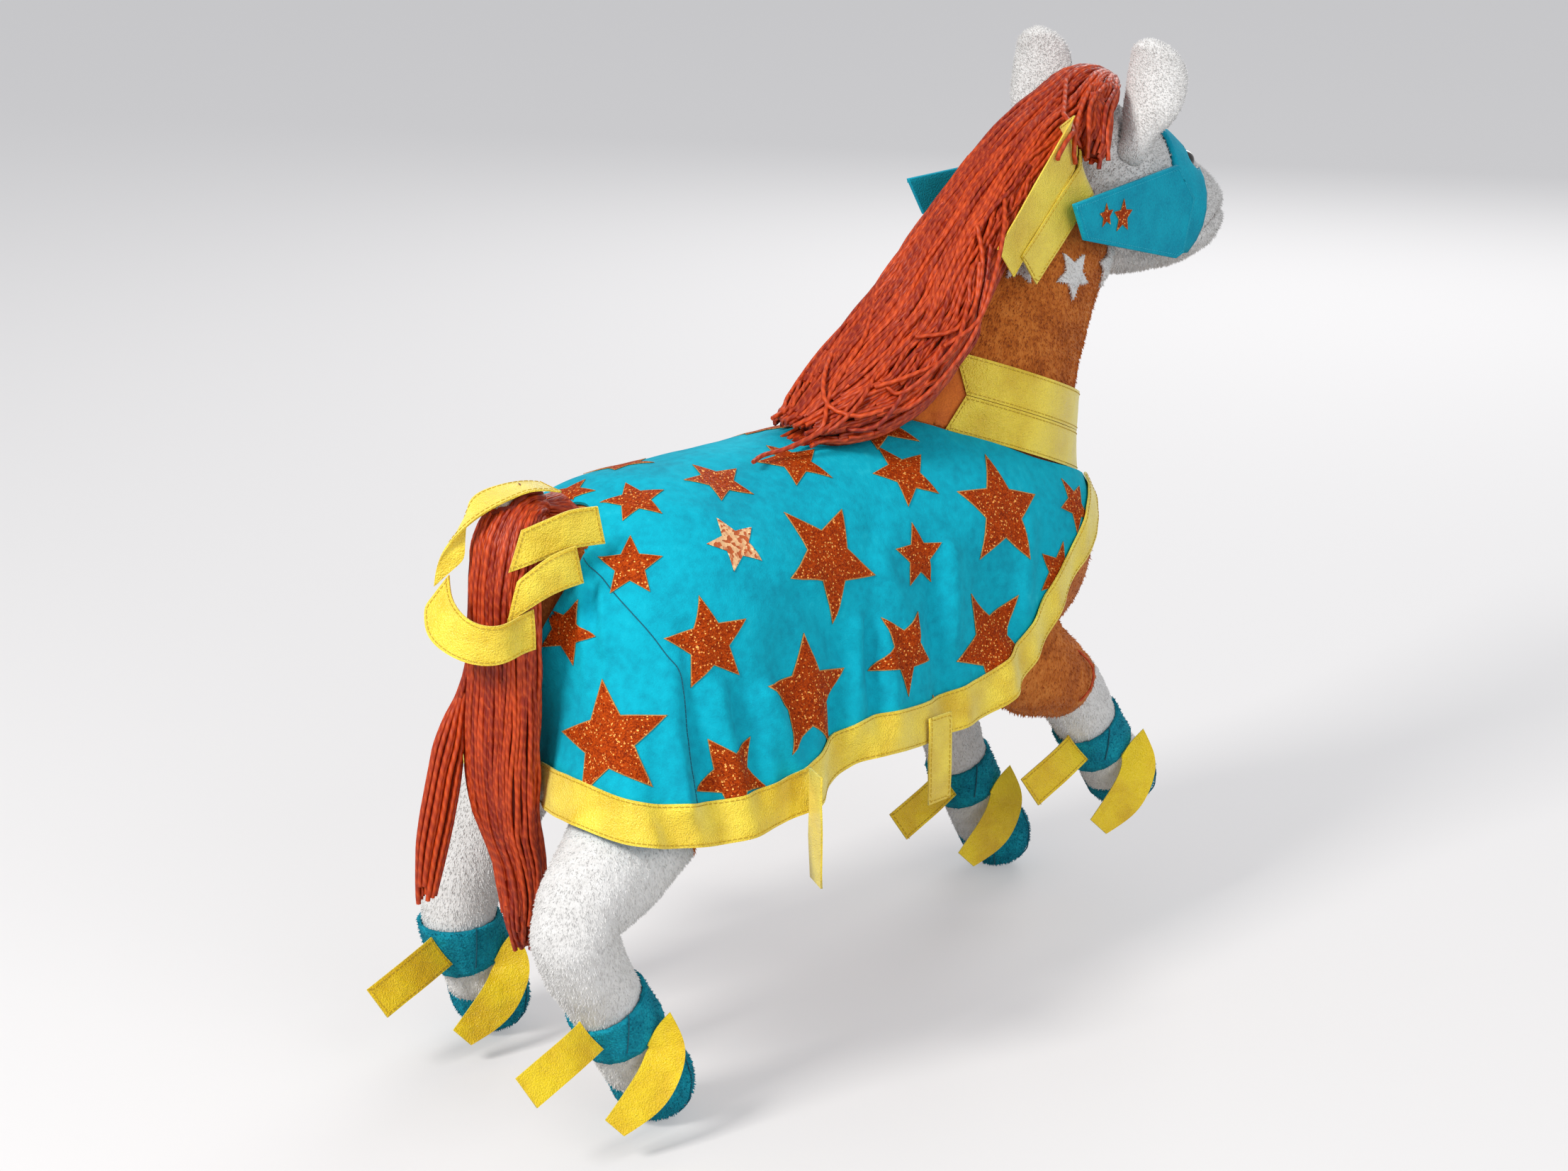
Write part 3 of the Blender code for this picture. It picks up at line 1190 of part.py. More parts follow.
# Ankle ribbons: two tied on each band, one trailing back and one crossing in front
# Each row is a place from the middle of the band and half its width, in ribbon widths
TRAILING_SHARES = (
    (-0.950, -0.300, -0.100, 0.165, -0.165, -0.360),
    (-1.900, -0.500, -0.300, 0.165, -0.165, -0.360),
    (-3.150, -0.500, -0.750, 0.165, -0.165, -0.360),
)
CROSSING_SHARES = (
    (0.350, -1.000, -0.100, 0.225, -0.250, 0.370),
    (0.450, -1.250, -0.650, 0.350, -0.300, -0.050),
    (-0.150, -1.350, -1.400, 0.250, -0.250, -0.350),
    (-1.150, -1.200, -2.050, 0.150, -0.150, -0.200),
)
ANKLE_STEPS = 8
for place in LEGS:
    middle, along = band_places[place][:2]
    for name, table in (("trailing", TRAILING_SHARES), ("crossing", CROSSING_SHARES)):
        rows = []
        for row in table:
            spot = middle + Vector(row[:3]) * RIBBON_WIDTH
            rows.append((*spot, *[value * RIBBON_WIDTH for value in row[3:]]))
        grid = []
        for row in ribbon_grid(rows, ANKLE_STEPS):
            hearts = [middle + along * ((p.z - middle.z) / along.z) for p in row]
            grid.append([push_out(p, heart, ankle_trees[place], CURVE_GAP) for p, heart in zip(row, hearts)])
        face = grid[0][1] - middle
        add(place + "_ribbon_" + name, thick_sheet(grid, 0, RIBBON_CLOTH, face), SATIN, 0.35)

# Hem tabs: short ribbon ends that hang from the blanket's lower edge
# Each row is a place along the body, how far the ribbon turns out, and its length
HEM_TAB_SHARES = {"front": (-0.045, 0, 2.2), "rear": (-0.317, 1.1, 2.7)}
TAB_TOP_SHARE = 0.575
TAB_WIDTH_SHARE = 0.8
TAB_LOOKS = 12
for side, hand in (("left", 1), ("right", -1)):
    for name, (along_share, turn, length_share) in HEM_TAB_SHARES.items():
        x = along_share * BODY_LENGTH
        length = length_share * RIBBON_WIDTH
        half = Vector((cos(turn), -hand * sin(turn), 0)) * (RIBBON_WIDTH * TAB_WIDTH_SHARE / 2)
        top = TAB_TOP_SHARE * BACK_HEIGHT
        reach = 0
        for k in range(TAB_LOOKS + 1):
            for turned in range(-TAB_LOOKS, TAB_LOOKS + 1):
                lean = turned / TAB_LOOKS
                spot = Vector((x + half.x * lean, 0, top - length * k / TAB_LOOKS))
                hit = nearest_hit([hem_trees[side], cloth_tree], spot + SIDEWAYS * hand * LOOK, spot)
                reach = max(reach, hand * (hit.y - half.y * lean) if hit else 0)
        root = Vector((x, hand * (reach + GAP * 3), top))
        low = root - Vector((0, 0, length))
        grid = ribbon_grid(((*root, *half), (*low, *half)), 4)
        add("hem_tab_" + name + "_" + side, thick_sheet(grid, 0, RIBBON_CLOTH, SIDEWAYS * hand), SATIN, 0.35)

# The whole part stands with the middle of its outline over the origin
bpy.context.view_layer.update()
graph = bpy.context.evaluated_depsgraph_get()
lows, highs = [], []
for piece in bpy.data.objects:
    if piece.type != "MESH" or piece.hide_render:
        continue
    shape = piece.evaluated_get(graph)
    corners = [shape.matrix_world @ Vector(corner) for corner in shape.bound_box]
    lows.append([min(c[axis] for c in corners) for axis in range(2)])
    highs.append([max(c[axis] for c in corners) for axis in range(2)])
middle = [(min(low[axis] for low in lows) + max(high[axis] for high in highs)) / 2 for axis in range(2)]
ROOT.location = (-middle[0], -middle[1], 0)
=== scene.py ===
import json
import random
from math import cos, pi, radians, sin

import bmesh
import bpy
from mathutils import Matrix, Vector, noise
from mathutils.bvhtree import BVHTree


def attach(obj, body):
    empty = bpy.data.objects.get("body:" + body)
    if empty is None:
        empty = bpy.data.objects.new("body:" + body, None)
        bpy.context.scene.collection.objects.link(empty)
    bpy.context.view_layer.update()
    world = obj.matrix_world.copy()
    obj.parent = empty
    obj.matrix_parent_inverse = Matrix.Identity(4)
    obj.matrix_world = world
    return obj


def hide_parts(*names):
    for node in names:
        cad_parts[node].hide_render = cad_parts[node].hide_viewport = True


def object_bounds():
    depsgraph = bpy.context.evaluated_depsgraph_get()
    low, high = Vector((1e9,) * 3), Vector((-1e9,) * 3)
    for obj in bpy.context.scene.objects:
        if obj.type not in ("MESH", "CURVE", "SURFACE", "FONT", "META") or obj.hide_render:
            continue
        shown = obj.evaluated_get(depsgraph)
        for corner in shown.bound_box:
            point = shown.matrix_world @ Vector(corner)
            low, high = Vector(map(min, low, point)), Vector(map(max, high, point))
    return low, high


# Room: a plain pale floor and backdrop under soft studio lamps.
# The camera stands behind the horse's right hip and looks slightly down.
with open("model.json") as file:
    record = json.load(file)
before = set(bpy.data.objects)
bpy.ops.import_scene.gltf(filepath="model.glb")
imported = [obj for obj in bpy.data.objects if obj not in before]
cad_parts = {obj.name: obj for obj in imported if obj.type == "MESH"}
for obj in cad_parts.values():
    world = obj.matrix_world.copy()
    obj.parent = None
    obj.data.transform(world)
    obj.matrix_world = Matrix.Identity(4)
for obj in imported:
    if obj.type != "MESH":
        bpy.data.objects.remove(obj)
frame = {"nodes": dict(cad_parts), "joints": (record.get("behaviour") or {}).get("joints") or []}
cad_low, cad_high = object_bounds()
nodes = frame["nodes"]
scene = bpy.context.scene
scene.view_settings.view_transform = "Standard"
TAIL_PIVOT_X = -0.17787
shift = Vector((frame["joints"][0]["pos_m"][0] - TAIL_PIVOT_X, frame["joints"][0]["pos_m"][1], 0))


def background_rays(tree):
    """One for a ray that shows the background: from the camera, off a shiny face or through glass."""
    rays = tree.nodes.new("ShaderNodeLightPath")
    shown = rays.outputs["Is Camera Ray"]
    for kind in ("Is Glossy Ray", "Is Transmission Ray"):
        either = tree.nodes.new("ShaderNodeMath")
        either.operation = "MAXIMUM"
        tree.links.new(shown, either.inputs[0])
        tree.links.new(rays.outputs[kind], either.inputs[1])
        shown = either.outputs[0]
    return shown


bpy.ops.mesh.primitive_plane_add(size=90, location=(0, 0, cad_low.z))
floor = bpy.context.object
floor.name = "floor"
floor_paint = bpy.data.materials.new("floor_paint")
floor_paint.use_nodes = True
floor_shader = floor_paint.node_tree.nodes["Principled BSDF"]
floor_shader.inputs["Base Color"].default_value = (0.50, 0.49, 0.485, 1)
floor_shader.inputs["Roughness"].default_value = 0.85
floor_shader.inputs["Emission Strength"].default_value = 0.34
glow = floor_paint.node_tree.nodes.new("ShaderNodeMix")
glow.data_type = "RGBA"
glow.inputs[6].default_value = (0, 0, 0, 1)
glow.inputs[7].default_value = (0.93, 0.93, 0.95, 1)
floor_paint.node_tree.links.new(background_rays(floor_paint.node_tree), glow.inputs[0])
floor_paint.node_tree.links.new(glow.outputs[2], floor_shader.inputs["Emission Color"])
floor.data.materials.append(floor_paint)

world = bpy.data.worlds.new("room_light")
scene.world = world
world.use_nodes = True
room_tree = world.node_tree
room_light = room_tree.nodes["Background"]
room_light.inputs["Color"].default_value = (0.93, 0.95, 1.0, 1)
room_light.inputs["Strength"].default_value = 0.46
room_wall = room_tree.nodes.new("ShaderNodeBackground")
room_wall.inputs["Color"].default_value = (0.535, 0.53, 0.54, 1)
room_pick = room_tree.nodes.new("ShaderNodeMixShader")
room_tree.links.new(background_rays(room_tree), room_pick.inputs[0])
room_tree.links.new(room_light.outputs[0], room_pick.inputs[1])
room_tree.links.new(room_wall.outputs[0], room_pick.inputs[2])
room_tree.links.new(room_pick.outputs[0], room_tree.nodes["World Output"].inputs["Surface"])


def lamp(name, place, aim, wide, power, colour=(1, 1, 1)):
    """A soft square lamp that faces a point."""
    light = bpy.data.lights.new(name, "AREA")
    light.size = wide
    light.energy = power
    light.color = colour
    carrier = bpy.data.objects.new(name, light)
    scene.collection.objects.link(carrier)
    carrier.location = place
    carrier.rotation_euler = (Vector(aim) - Vector(place)).to_track_quat("-Z", "Y").to_euler()


# Each lamp's place, aim, width, power in watts and colour.
LAMPS = {
    "key_lamp": ((-1.9, 0.05, 1.75), (0, 0, 0.2), 0.6, 48, (1, 0.98, 0.95)),
    "fill_lamp": ((-0.5, -2.3, 1.2), (0, 0, 0.2), 1.6, 22),
    "back_lamp": ((1.9, 1.0, 1.2), (0.1, 0, 0.25), 1.2, 16),
}
for name, settings in LAMPS.items():
    lamp(name, *settings)

CAMERA_PLACE = Vector((-1.13157, -1.08378, 0.66947))
CAMERA_RIGHT = Vector((0.70128, -0.71288, 0))
CAMERA_UP = Vector((0.20128, 0.19800, 0.95931))
CAMERA_AHEAD = Vector((0.68388, 0.67275, -0.28234))
camera_data = bpy.data.cameras.new("camera")
camera_data.sensor_width = 36
camera_data.lens = 74.83
camera = bpy.data.objects.new("camera", camera_data)
scene.collection.objects.link(camera)
camera_turn = Matrix((CAMERA_RIGHT, CAMERA_UP, -CAMERA_AHEAD)).transposed().to_4x4()
camera.matrix_world = Matrix.Translation(CAMERA_PLACE + shift) @ camera_turn
scene.camera = camera


# Brown plush: the stuffed trunk, the neck and the tops of the four legs, sewn from short-pile cloth.
# Each is filled tight with fibre, and the pile lies back along the animal.
class Flow:
    """What comes out of a node; sums and products of it add their own nodes."""

    def __init__(self, board, socket):
        self.board = board
        self.socket = socket

    def other(self, name):
        return Flow(self.board, self.socket.node.outputs[name])

    def join(self, operation, first, second):
        flat = all(not isinstance(v, (Vector, tuple)) for v in (first, second))
        if flat and all(not isinstance(v, Flow) or v.socket.type != "VECTOR" for v in (first, second)):
            return self.board.node("ShaderNodeMath", {"operation": operation}, {0: first, 1: second})
        if operation == "MULTIPLY" and isinstance(second, (int, float)):
            return self.board.node("ShaderNodeVectorMath", {"operation": "SCALE"}, {0: first, 3: second})
        return self.board.node("ShaderNodeVectorMath", {"operation": operation}, {0: first, 1: second})

    def __add__(self, other):
        return self.join("ADD", self, other)

    def __radd__(self, other):
        return self.join("ADD", other, self)

    def __mul__(self, other):
        return self.join("MULTIPLY", self, other)

    def __rmul__(self, other):
        return self.join("MULTIPLY", self, other)


class Board:
    """The nodes of one tree, added one by one."""

    def __init__(self, tree):
        self.tree = tree

    def node(self, kind, settings=None, values=None, out=0):
        made = self.tree.nodes.new(kind)
        for key, value in (settings or {}).items():
            setattr(made, key, value)
        for key, value in (values or {}).items():
            if isinstance(value, Flow):
                self.tree.links.new(value.socket, made.inputs[key])
            else:
                made.inputs[key].default_value = value
        return Flow(self, made.outputs[out])


class Finish(Board):
    """A material for one finish, which ends on its own shader."""

    def __init__(self, name, roughness, **fixed):
        self.material = bpy.data.materials.new(name)
        self.material.use_nodes = True
        super().__init__(self.material.node_tree)
        self.shader = self.tree.nodes["Principled BSDF"]
        self.shader.inputs["Roughness"].default_value = roughness
        for key, value in fixed.items():
            self.shader.inputs[key.replace("_", " ").title().replace("Ior", "IOR")].default_value = value
        self.place = self.node("ShaderNodeTexCoord", out="Object")

    def grain(self, size, stretch=(1, 1, 1), detail=2):
        """Soft blotches of a size in metres, from 0 to 1."""
        values = {"Vector": self.place, "Scale": (stretch[0], stretch[1], stretch[2])}
        place = self.node("ShaderNodeMapping", None, values)
        return self.node("ShaderNodeTexNoise", None, {"Vector": place, "Scale": 1 / size, "Detail": detail})

    def cells(self, size, out="Color"):
        return self.node("ShaderNodeTexVoronoi", None, {"Vector": self.place, "Scale": 1 / size}, out)

    def span(self, value, low, high, first=0, last=1):
        """A value's range from low to high, spread from first to last."""
        values = {0: value, 1: low, 2: high, 3: first, 4: last}
        return self.node("ShaderNodeMapRange", None, values)

    def mix(self, share, first, second):
        values = {0: share}
        for key, value in ((6, first), (7, second)):
            values[key] = value if isinstance(value, Flow) else (*value, 1)
        return self.node("ShaderNodeMix", {"data_type": "RGBA"}, values, 2)

    def named(self, name):
        return self.node("ShaderNodeAttribute", {"attribute_name": name}, None, "Fac")

    def end(self, colour=None, height=None, depth=0.0005, roughness=None, metallic=None):
        for key, flow in (("Base Color", colour), ("Roughness", roughness), ("Metallic", metallic)):
            if isinstance(flow, Flow):
                self.tree.links.new(flow.socket, self.shader.inputs[key])
            elif flow is not None:
                self.shader.inputs[key].default_value = (*flow, 1)
        if height is not None:
            bump = self.node("ShaderNodeBump", None, {"Height": height, "Distance": depth})
            self.tree.links.new(bump.socket, self.shader.inputs["Normal"])
        return self.material


def plain(name, roughness, size, first, last, **fixed):
    """A finish of two close shades in soft blotches of a size in metres."""
    finish = Finish(name, roughness, **fixed)
    return finish.end(finish.mix(finish.grain(size), first, last))


def plush(name, dark, mid, pale):
    """Short pile: clumps of nap a few millimetres wide, and single fibres over them."""
    finish = Finish(name, 0.92, specular_ior_level=0.2, sheen_weight=0.1, sheen_roughness=0.5)
    nap = finish.grain(0.016, detail=3)
    clumps = finish.grain(0.0034, (1, 1, 0.6), 3)
    fibres = finish.grain(0.0007, (1, 1, 0.35), 2)
    shade = nap * 0.45 + clumps * 0.35 + fibres * 0.35
    colour = finish.mix(finish.span(shade, 0.40, 0.58), dark, mid)
    colour = finish.mix(finish.span(shade, 0.56, 0.74), colour, pale)
    return finish.end(colour, clumps * 0.55 + fibres * 0.45, 0.0011)


brown_plush = plush("brown_plush", (0.300, 0.062, 0.007), (0.520, 0.140, 0.018), (0.68, 0.235, 0.045))


def gather(node):
    """A copy of one CAD solid with its corners joined up."""
    body = bmesh.new()
    body.from_mesh(nodes[node].data)
    bmesh.ops.remove_doubles(body, verts=body.verts, dist=0.00002)
    return body


def rest_smooth(body, rounds=10, corner=0.95):
    """Rounds off a form's flat faces without shrinking it; its cut rims stay where they are."""
    held = set()
    for edge in body.edges:
        if len(edge.link_faces) != 2 or edge.calc_face_angle() > corner:
            held.update(edge.verts)
    free = [v for v in body.verts if v not in held]
    for k in range(rounds):
        pull = 0.5 if k % 2 == 0 else -0.52
        moved = []
        for v in free:
            near = [e.other_vert(v).co for e in v.link_edges]
            moved.append(v.co.lerp(sum(near, Vector()) / len(near), pull))
        for v, place in zip(free, moved):
            v.co = place
    return set(free)


def shade(mesh):
    """Smooth faces that keep their sharp edges."""
    mesh.shade_smooth()
    mesh.set_sharp_from_angle(angle=radians(50))


def make(name, body, material, smooth=True):
    """A piece from mesh data, with its place in its mesh."""
    mesh = bpy.data.meshes.new(name)
    body.to_mesh(mesh)
    body.free()
    piece = bpy.data.objects.new(name, mesh)
    scene.collection.objects.link(piece)
    mesh.materials.append(material)
    if smooth:
        shade(mesh)
    return piece


def keep(piece):
    """Puts what a piece's modifiers make into its own mesh."""
    bpy.context.view_layer.update()
    kept = bpy.data.meshes.new_from_object(piece.evaluated_get(bpy.context.evaluated_depsgraph_get()))
    piece.modifiers.clear()
    piece.data = kept


def bake(piece, kind, **settings):
    """Applies one modifier at once."""
    modifier = piece.modifiers.new(kind.lower(), kind)
    for key, value in settings.items():
        setattr(modifier, key, value)
    keep(piece)


def grow(piece, tree, **inputs):
    """Runs a tree of repeats on a piece, and keeps the result as a plain mesh."""
    modifier = piece.modifiers.new("grow", "NODES")
    modifier.node_group = tree
    for socket in tree.interface.items_tree:
        if socket.in_out == "INPUT" and socket.name.lower() in inputs:
            modifier[socket.identifier] = inputs[socket.name.lower()]
    keep(piece)


def declare(piece, body_name, node=None):
    """Hides the CAD node that a piece replaces, and hangs the piece on the body that it rides on."""
    if node:
        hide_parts(node)
    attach(piece, body_name)


def new_tree(name, sizes):
    """A tree with a shape in, a shape out and named sizes."""
    tree = bpy.data.node_groups.new(name, "GeometryNodeTree")
    tree.interface.new_socket("Shape", in_out="OUTPUT", socket_type="NodeSocketGeometry")
    tree.interface.new_socket("Shape", in_out="INPUT", socket_type="NodeSocketGeometry")
    for label, kind, value in sizes:
        socket = tree.interface.new_socket(label, in_out="INPUT", socket_type="NodeSocket" + kind)
        if value is not None:
            socket.default_value = value
    board = Board(tree)
    board.entry = board.node("NodeGroupInput")
    board.exit = tree.nodes.new("NodeGroupOutput")
    return board


def close_tree(board, shape):
    """Ends a tree: single shapes become one mesh with its material."""
    real = board.node("GeometryNodeRealizeInstances", None, {"Geometry": shape})
    values = {"Geometry": real, "Material": board.entry.other("Material")}
    painted = board.node("GeometryNodeSetMaterial", None, values)
    board.tree.links.new(painted.socket, board.exit.inputs[0])
    return board.tree


pile = new_tree("pile", (
    ("Tufts", "Float", 300000.0), ("Length", "Float", 0.0016), ("Root", "Float", 0.0003),
    ("Nap", "Vector", (-0.5, 0, -0.6)), ("Material", "Material", None),
))
roots = pile.node("GeometryNodeDistributePointsOnFaces", None, {
    "Mesh": pile.entry.other("Shape"), "Density": pile.entry.other("Tufts"), "Seed": 3})
LOOSE_LEAN = 0.6
loose = pile.node("FunctionNodeRandomValue", {"data_type": "FLOAT_VECTOR"}, {
    0: (-LOOSE_LEAN,) * 3, 1: (LOOSE_LEAN,) * 3, "Seed": 5})
lean = roots.other("Normal") + pile.entry.other("Nap") + loose
turn = pile.node("FunctionNodeAlignRotationToVector", {"axis": "Z"}, {"Vector": lean})
tall = pile.node("FunctionNodeRandomValue", {"data_type": "FLOAT"}, {2: 0.6, 3: 1.3, "Seed": 7}, 1)
tuft = pile.node("GeometryNodeMeshCone", {"fill_type": "NGON"}, {
    "Vertices": 3, "Radius Top": 0.0,
    "Radius Bottom": pile.entry.other("Root"), "Depth": pile.entry.other("Length")})
tufts = pile.node("GeometryNodeInstanceOnPoints", None, {
    "Points": roots, "Instance": tuft, "Rotation": turn, "Scale": tall})
both = pile.node("GeometryNodeJoinGeometry")
pile.tree.links.new(pile.entry.other("Shape").socket, both.socket.node.inputs[0])
pile.tree.links.new(tufts.socket, both.socket.node.inputs[0])
pile_tree = close_tree(pile, both)

# The way that the pile lies, and its tufts to the square metre.
NAP = {"torso": (-0.9, 0, -0.3), "neck": (-0.5, 0, -0.9), "upper": (-0.3, 0, -1.0), "leg": (-0.2, 0, -1.1),
       "head": (-0.5, 0, -0.4), "ear": (0, 0, 0.9), "dock": (-0.5, 0, 0), "hoof": (0, 0, -0.5),
       "star": (-0.3, 0, -0.5)}
TUFTS = {"torso": 80000, "neck": 560000, "upper": 300000, "leg": 680000, "head": 760000, "ear": 1200000,
         "dock": 300000, "hoof": 500000, "band": 300000, "star": 700000}
LUMPS_PER_METRE = (38, 90)
SMALL_LUMP_SHARE = 0.6


def stuffed(name, node, material, body_name, coat, cuts=2, lump=0.0007, length=0.0016, shape=None):
    """A stuffed form: the solid's own form rounded off, with soft lumps of filling and its pile."""
    body = gather(node)
    bmesh.ops.subdivide_edges(body, edges=body.edges[:], cuts=cuts, use_grid_fill=True)
    free = rest_smooth(body)
    body.normal_update()
    moves = []
    large, small = LUMPS_PER_METRE
    for v in free:
        swell = lump * noise.noise(v.co * large) + lump * SMALL_LUMP_SHARE * noise.noise(v.co * small)
        moves.append((v, v.normal * (swell + (shape(v.co) if shape else 0))))
    for v, move in moves:
        v.co += move
    piece = make(name, body, material)
    grow(piece, pile_tree, tufts=float(TUFTS[coat]), length=length, nap=NAP[coat], material=material)
    declare(piece, body_name, node)


LEGS = ("hind_left", "hind_right", "fore_left", "fore_right")
stuffed("trunk", "torso", brown_plush, "horse", "torso", 1)
stuffed("neck_form", "neck", brown_plush, "horse", "neck")
for leg in LEGS:
    stuffed(leg + "_top", leg + "_upper", brown_plush, "horse", "upper")

# White plush: the head, the lower legs, the ears and the stump of the tail, in the same short pile.
# The face is pressed in along the mouth, and the ears are curled leaves of doubled cloth.
white_plush = plush("white_plush", (0.64, 0.63, 0.62), (0.73, 0.725, 0.715), (0.79, 0.785, 0.78))
MOUTH_PLACES = (
    (0.2330, -0.0370, 0.3450), (0.2460, -0.0370, 0.3520), (0.2580, -0.0330, 0.3610),
    (0.2680, -0.0210, 0.3680), (0.2740, 0, 0.3700),
)
MOUTH_STEPS = 4
GROOVE_DEPTH, GROOVE_WIDTH = 0.0036, 0.0032
LIP_HEIGHT, LIP_WIDTH = 0.0010, 0.009


def surface_of(node):
    """The surface of one CAD solid, for finding places on it."""
    body = gather(node)
    surface = BVHTree.FromBMesh(body)
    body.free()
    return surface


def line_gap(spot, line):
    """The distance from a place to a line through a few places."""
    gaps = []
    for a, b in zip(line, line[1:]):
        share = min(max((spot - a).dot(b - a) / (b - a).length_squared, 0), 1)
        gaps.append((spot - a.lerp(b, share)).length)
    return min(gaps)


def bell(gap, width):
    """One at no distance, falling softly to nothing past a width."""
    return 2.718 ** (-((gap / width) ** 2))


head_top = surface_of("head")
MOUTH = []
for first, last in zip(MOUTH_PLACES, MOUTH_PLACES[1:]):
    for k in range(MOUTH_STEPS + (last == MOUTH_PLACES[-1])):
        MOUTH.append(head_top.find_nearest(Vector(first).lerp(Vector(last), k / MOUTH_STEPS))[0])


def mouth_press(place):
    """The sewn line of the mouth along each side of the muzzle."""
    gap = line_gap(Vector((place.x, -abs(place.y), place.z)), MOUTH)
    return -GROOVE_DEPTH * bell(gap, GROOVE_WIDTH) + LIP_HEIGHT * bell(gap, LIP_WIDTH)


stuffed("head_form", "head", white_plush, "horse", "head", lump=0.001, length=0.0018,
        shape=mouth_press)
for leg in LEGS:
    stuffed(leg + "_shin", leg + "_leg", white_plush, "horse", "leg", length=0.0012)
for side in ("left", "right"):
    stuffed("ear_form_" + side, "ear_" + side, white_plush, "ear_" + side, "ear",
            lump=0.0010, length=0.0011)
stuffed("tail_stump", "tail_dock", white_plush, "tail", "dock", 1, 0.0003)

# Hooves and ankle bands: teal felted plush. A hoof is a stuffed cap with two seams over its front,
# and a band is one strip sewn round the leg above it.
teal = Finish("teal_plush", 0.9, specular_ior_level=0.2)
blotch = teal.grain(0.009, detail=3)
fuzz = teal.grain(0.0011, detail=2)
teal_shade = blotch * 0.5 + fuzz * 0.5
teal_colour = teal.mix(teal.span(teal_shade, 0.36, 0.66), (0.001, 0.150, 0.230), (0.006, 0.340, 0.450))
teal_plush = teal.end(teal_colour, fuzz, 0.0008)
for leg in LEGS:
    stuffed(leg + "_hoof_cap", leg + "_hoof", teal_plush, "horse", "hoof", lump=0.0004,
            length=0.0012)


def cloth_copy(name, node, material, cuts=2, soft=0.0002, tufts=0, length=0.001):
    """A sewn strip or panel of the horse: its solid's own form, rounded off, with an uneven surface."""
    body = gather(node)
    bmesh.ops.subdivide_edges(body, edges=body.edges[:], cuts=cuts, use_grid_fill=True)
    free = rest_smooth(body, 6)
    body.normal_update()
    for v, move in [(v, v.normal * soft * noise.noise(v.co * 120)) for v in free]:
        v.co += move
    piece = make(name, body, material)
    if tufts:
        grow(piece, pile_tree, tufts=float(tufts), length=length, nap=(0, 0, 0), material=material)
    declare(piece, "horse", node)


for leg in LEGS:
    cloth_copy(leg + "_ankle_band", leg + "_band", teal_plush, tufts=TUFTS["band"],
               length=0.0009)


def at(x, y, z):
    """A place in millimetres from the middle of the horse's base."""
    return Vector((x, y, z)) * 0.001 + shift


def facing(patch):
    """The summed direction of a patch of faces."""
    return sum((f.normal * f.calc_area() for f in patch), Vector())


def sheet_of(node, outward=None, bend=0.87):
    """The widest face of a thin solid, or of its two the outward one, and how thick the solid is."""
    body = gather(node)
    patches, seen = [], set()
    for first in body.faces:
        if first in seen:
            continue
        patch, waiting = [], [first]
        seen.add(first)
        while waiting:
            face = waiting.pop()
            patch.append(face)
            for edge in face.edges:
                if len(edge.link_faces) == 2 and edge.calc_face_angle() < bend:
                    for other in edge.link_faces:
                        if other not in seen:
                            seen.add(other)
                            waiting.append(other)
        patches.append(patch)
    patches.sort(key=lambda patch: -sum(f.calc_area() for f in patch))
    best = patches[0]
    if outward:
        best = max(patches[:2], key=lambda patch: facing(patch).dot(Vector(outward)))
    thick = abs(body.calc_volume()) / sum(f.calc_area() for f in best)
    kept = set(best)
    bmesh.ops.delete(body, geom=[f for f in body.faces if f not in kept], context="FACES")
    bmesh.ops.join_triangles(body, faces=body.faces[:], angle_face_threshold=0.7, angle_shape_threshold=1.2)
    return body, thick


def edge_rows(mesh, inset, lift=0.00015):
    """Closed rows of places a little way in from the edges of a sheet."""
    body = bmesh.new()
    body.from_mesh(mesh)
    body.normal_update()
    surface = BVHTree.FromBMesh(body)
    beside = {}
    for edge in body.edges:
        if edge.is_boundary:
            for v in edge.verts:
                beside.setdefault(v, []).append(edge.other_vert(v))
    left, rows = set(beside), []
    for start in [v for v in body.verts if v in beside]:
        if start not in left:
            continue
        row = [start]
        left.discard(start)
        while True:
            onward = next((v for v in beside[row[-1]] if v in left), None)
            if onward is None:
                break
            left.discard(onward)
            row.append(onward)
        places = []
        for k, v in enumerate(row):
            along = row[(k + 1) % len(row)].co - row[k - 1].co
            inward = v.normal.cross(along).normalized()
            middle = sum((f.calc_center_median() for f in v.link_faces), Vector()) / len(v.link_faces)
            if inward.dot(middle - v.co) < 0:
                inward = -inward
            near, normal = surface.find_nearest(v.co + inward * inset)[:2]
            places.append(near + normal * lift)
        rows.append(places + places[:1])
    body.free()
    return rows


sewn_rows = {"horse": [], "tail": []}


def thicken(piece, thick):
    """Gives a sheet its thickness; what comes back is its surface before that."""
    places = [v.co.copy() for v in piece.data.vertices]
    surface = BVHTree.FromPolygons(places, [p.vertices[:] for p in piece.data.polygons])
    bake(piece, "SOLIDIFY", thickness=thick, offset=-1)
    return surface


def cloth(name, node, material, rests_on, body_name="horse", levels=2, move=None,
          inset=0.0014, crisp=False, outward=None):
    """A sheet of cloth: its thin solid's outer face, rounded, moved into small folds and thickened."""
    body, thick = sheet_of(node, outward)
    if crisp:
        bmesh.ops.subdivide_edges(body, edges=body.edges[:], cuts=3, use_grid_fill=True)
        rest_smooth(body, 12)
        levels = 0
    piece = make(name, body, material)
    if levels:
        bake(piece, "SUBSURF", levels=levels, render_levels=levels, boundary_smooth="PRESERVE_CORNERS")
    if move:
        normals = [v.normal.copy() for v in piece.data.vertices]
        for v, normal in zip(piece.data.vertices, normals):
            v.co += normal * move(v.co)
    if inset:
        sewn_rows[body_name] += edge_rows(piece.data, inset)
    surface = thicken(piece, thick)
    shade(piece.data)
    declare(piece, body_name, node)
    return surface


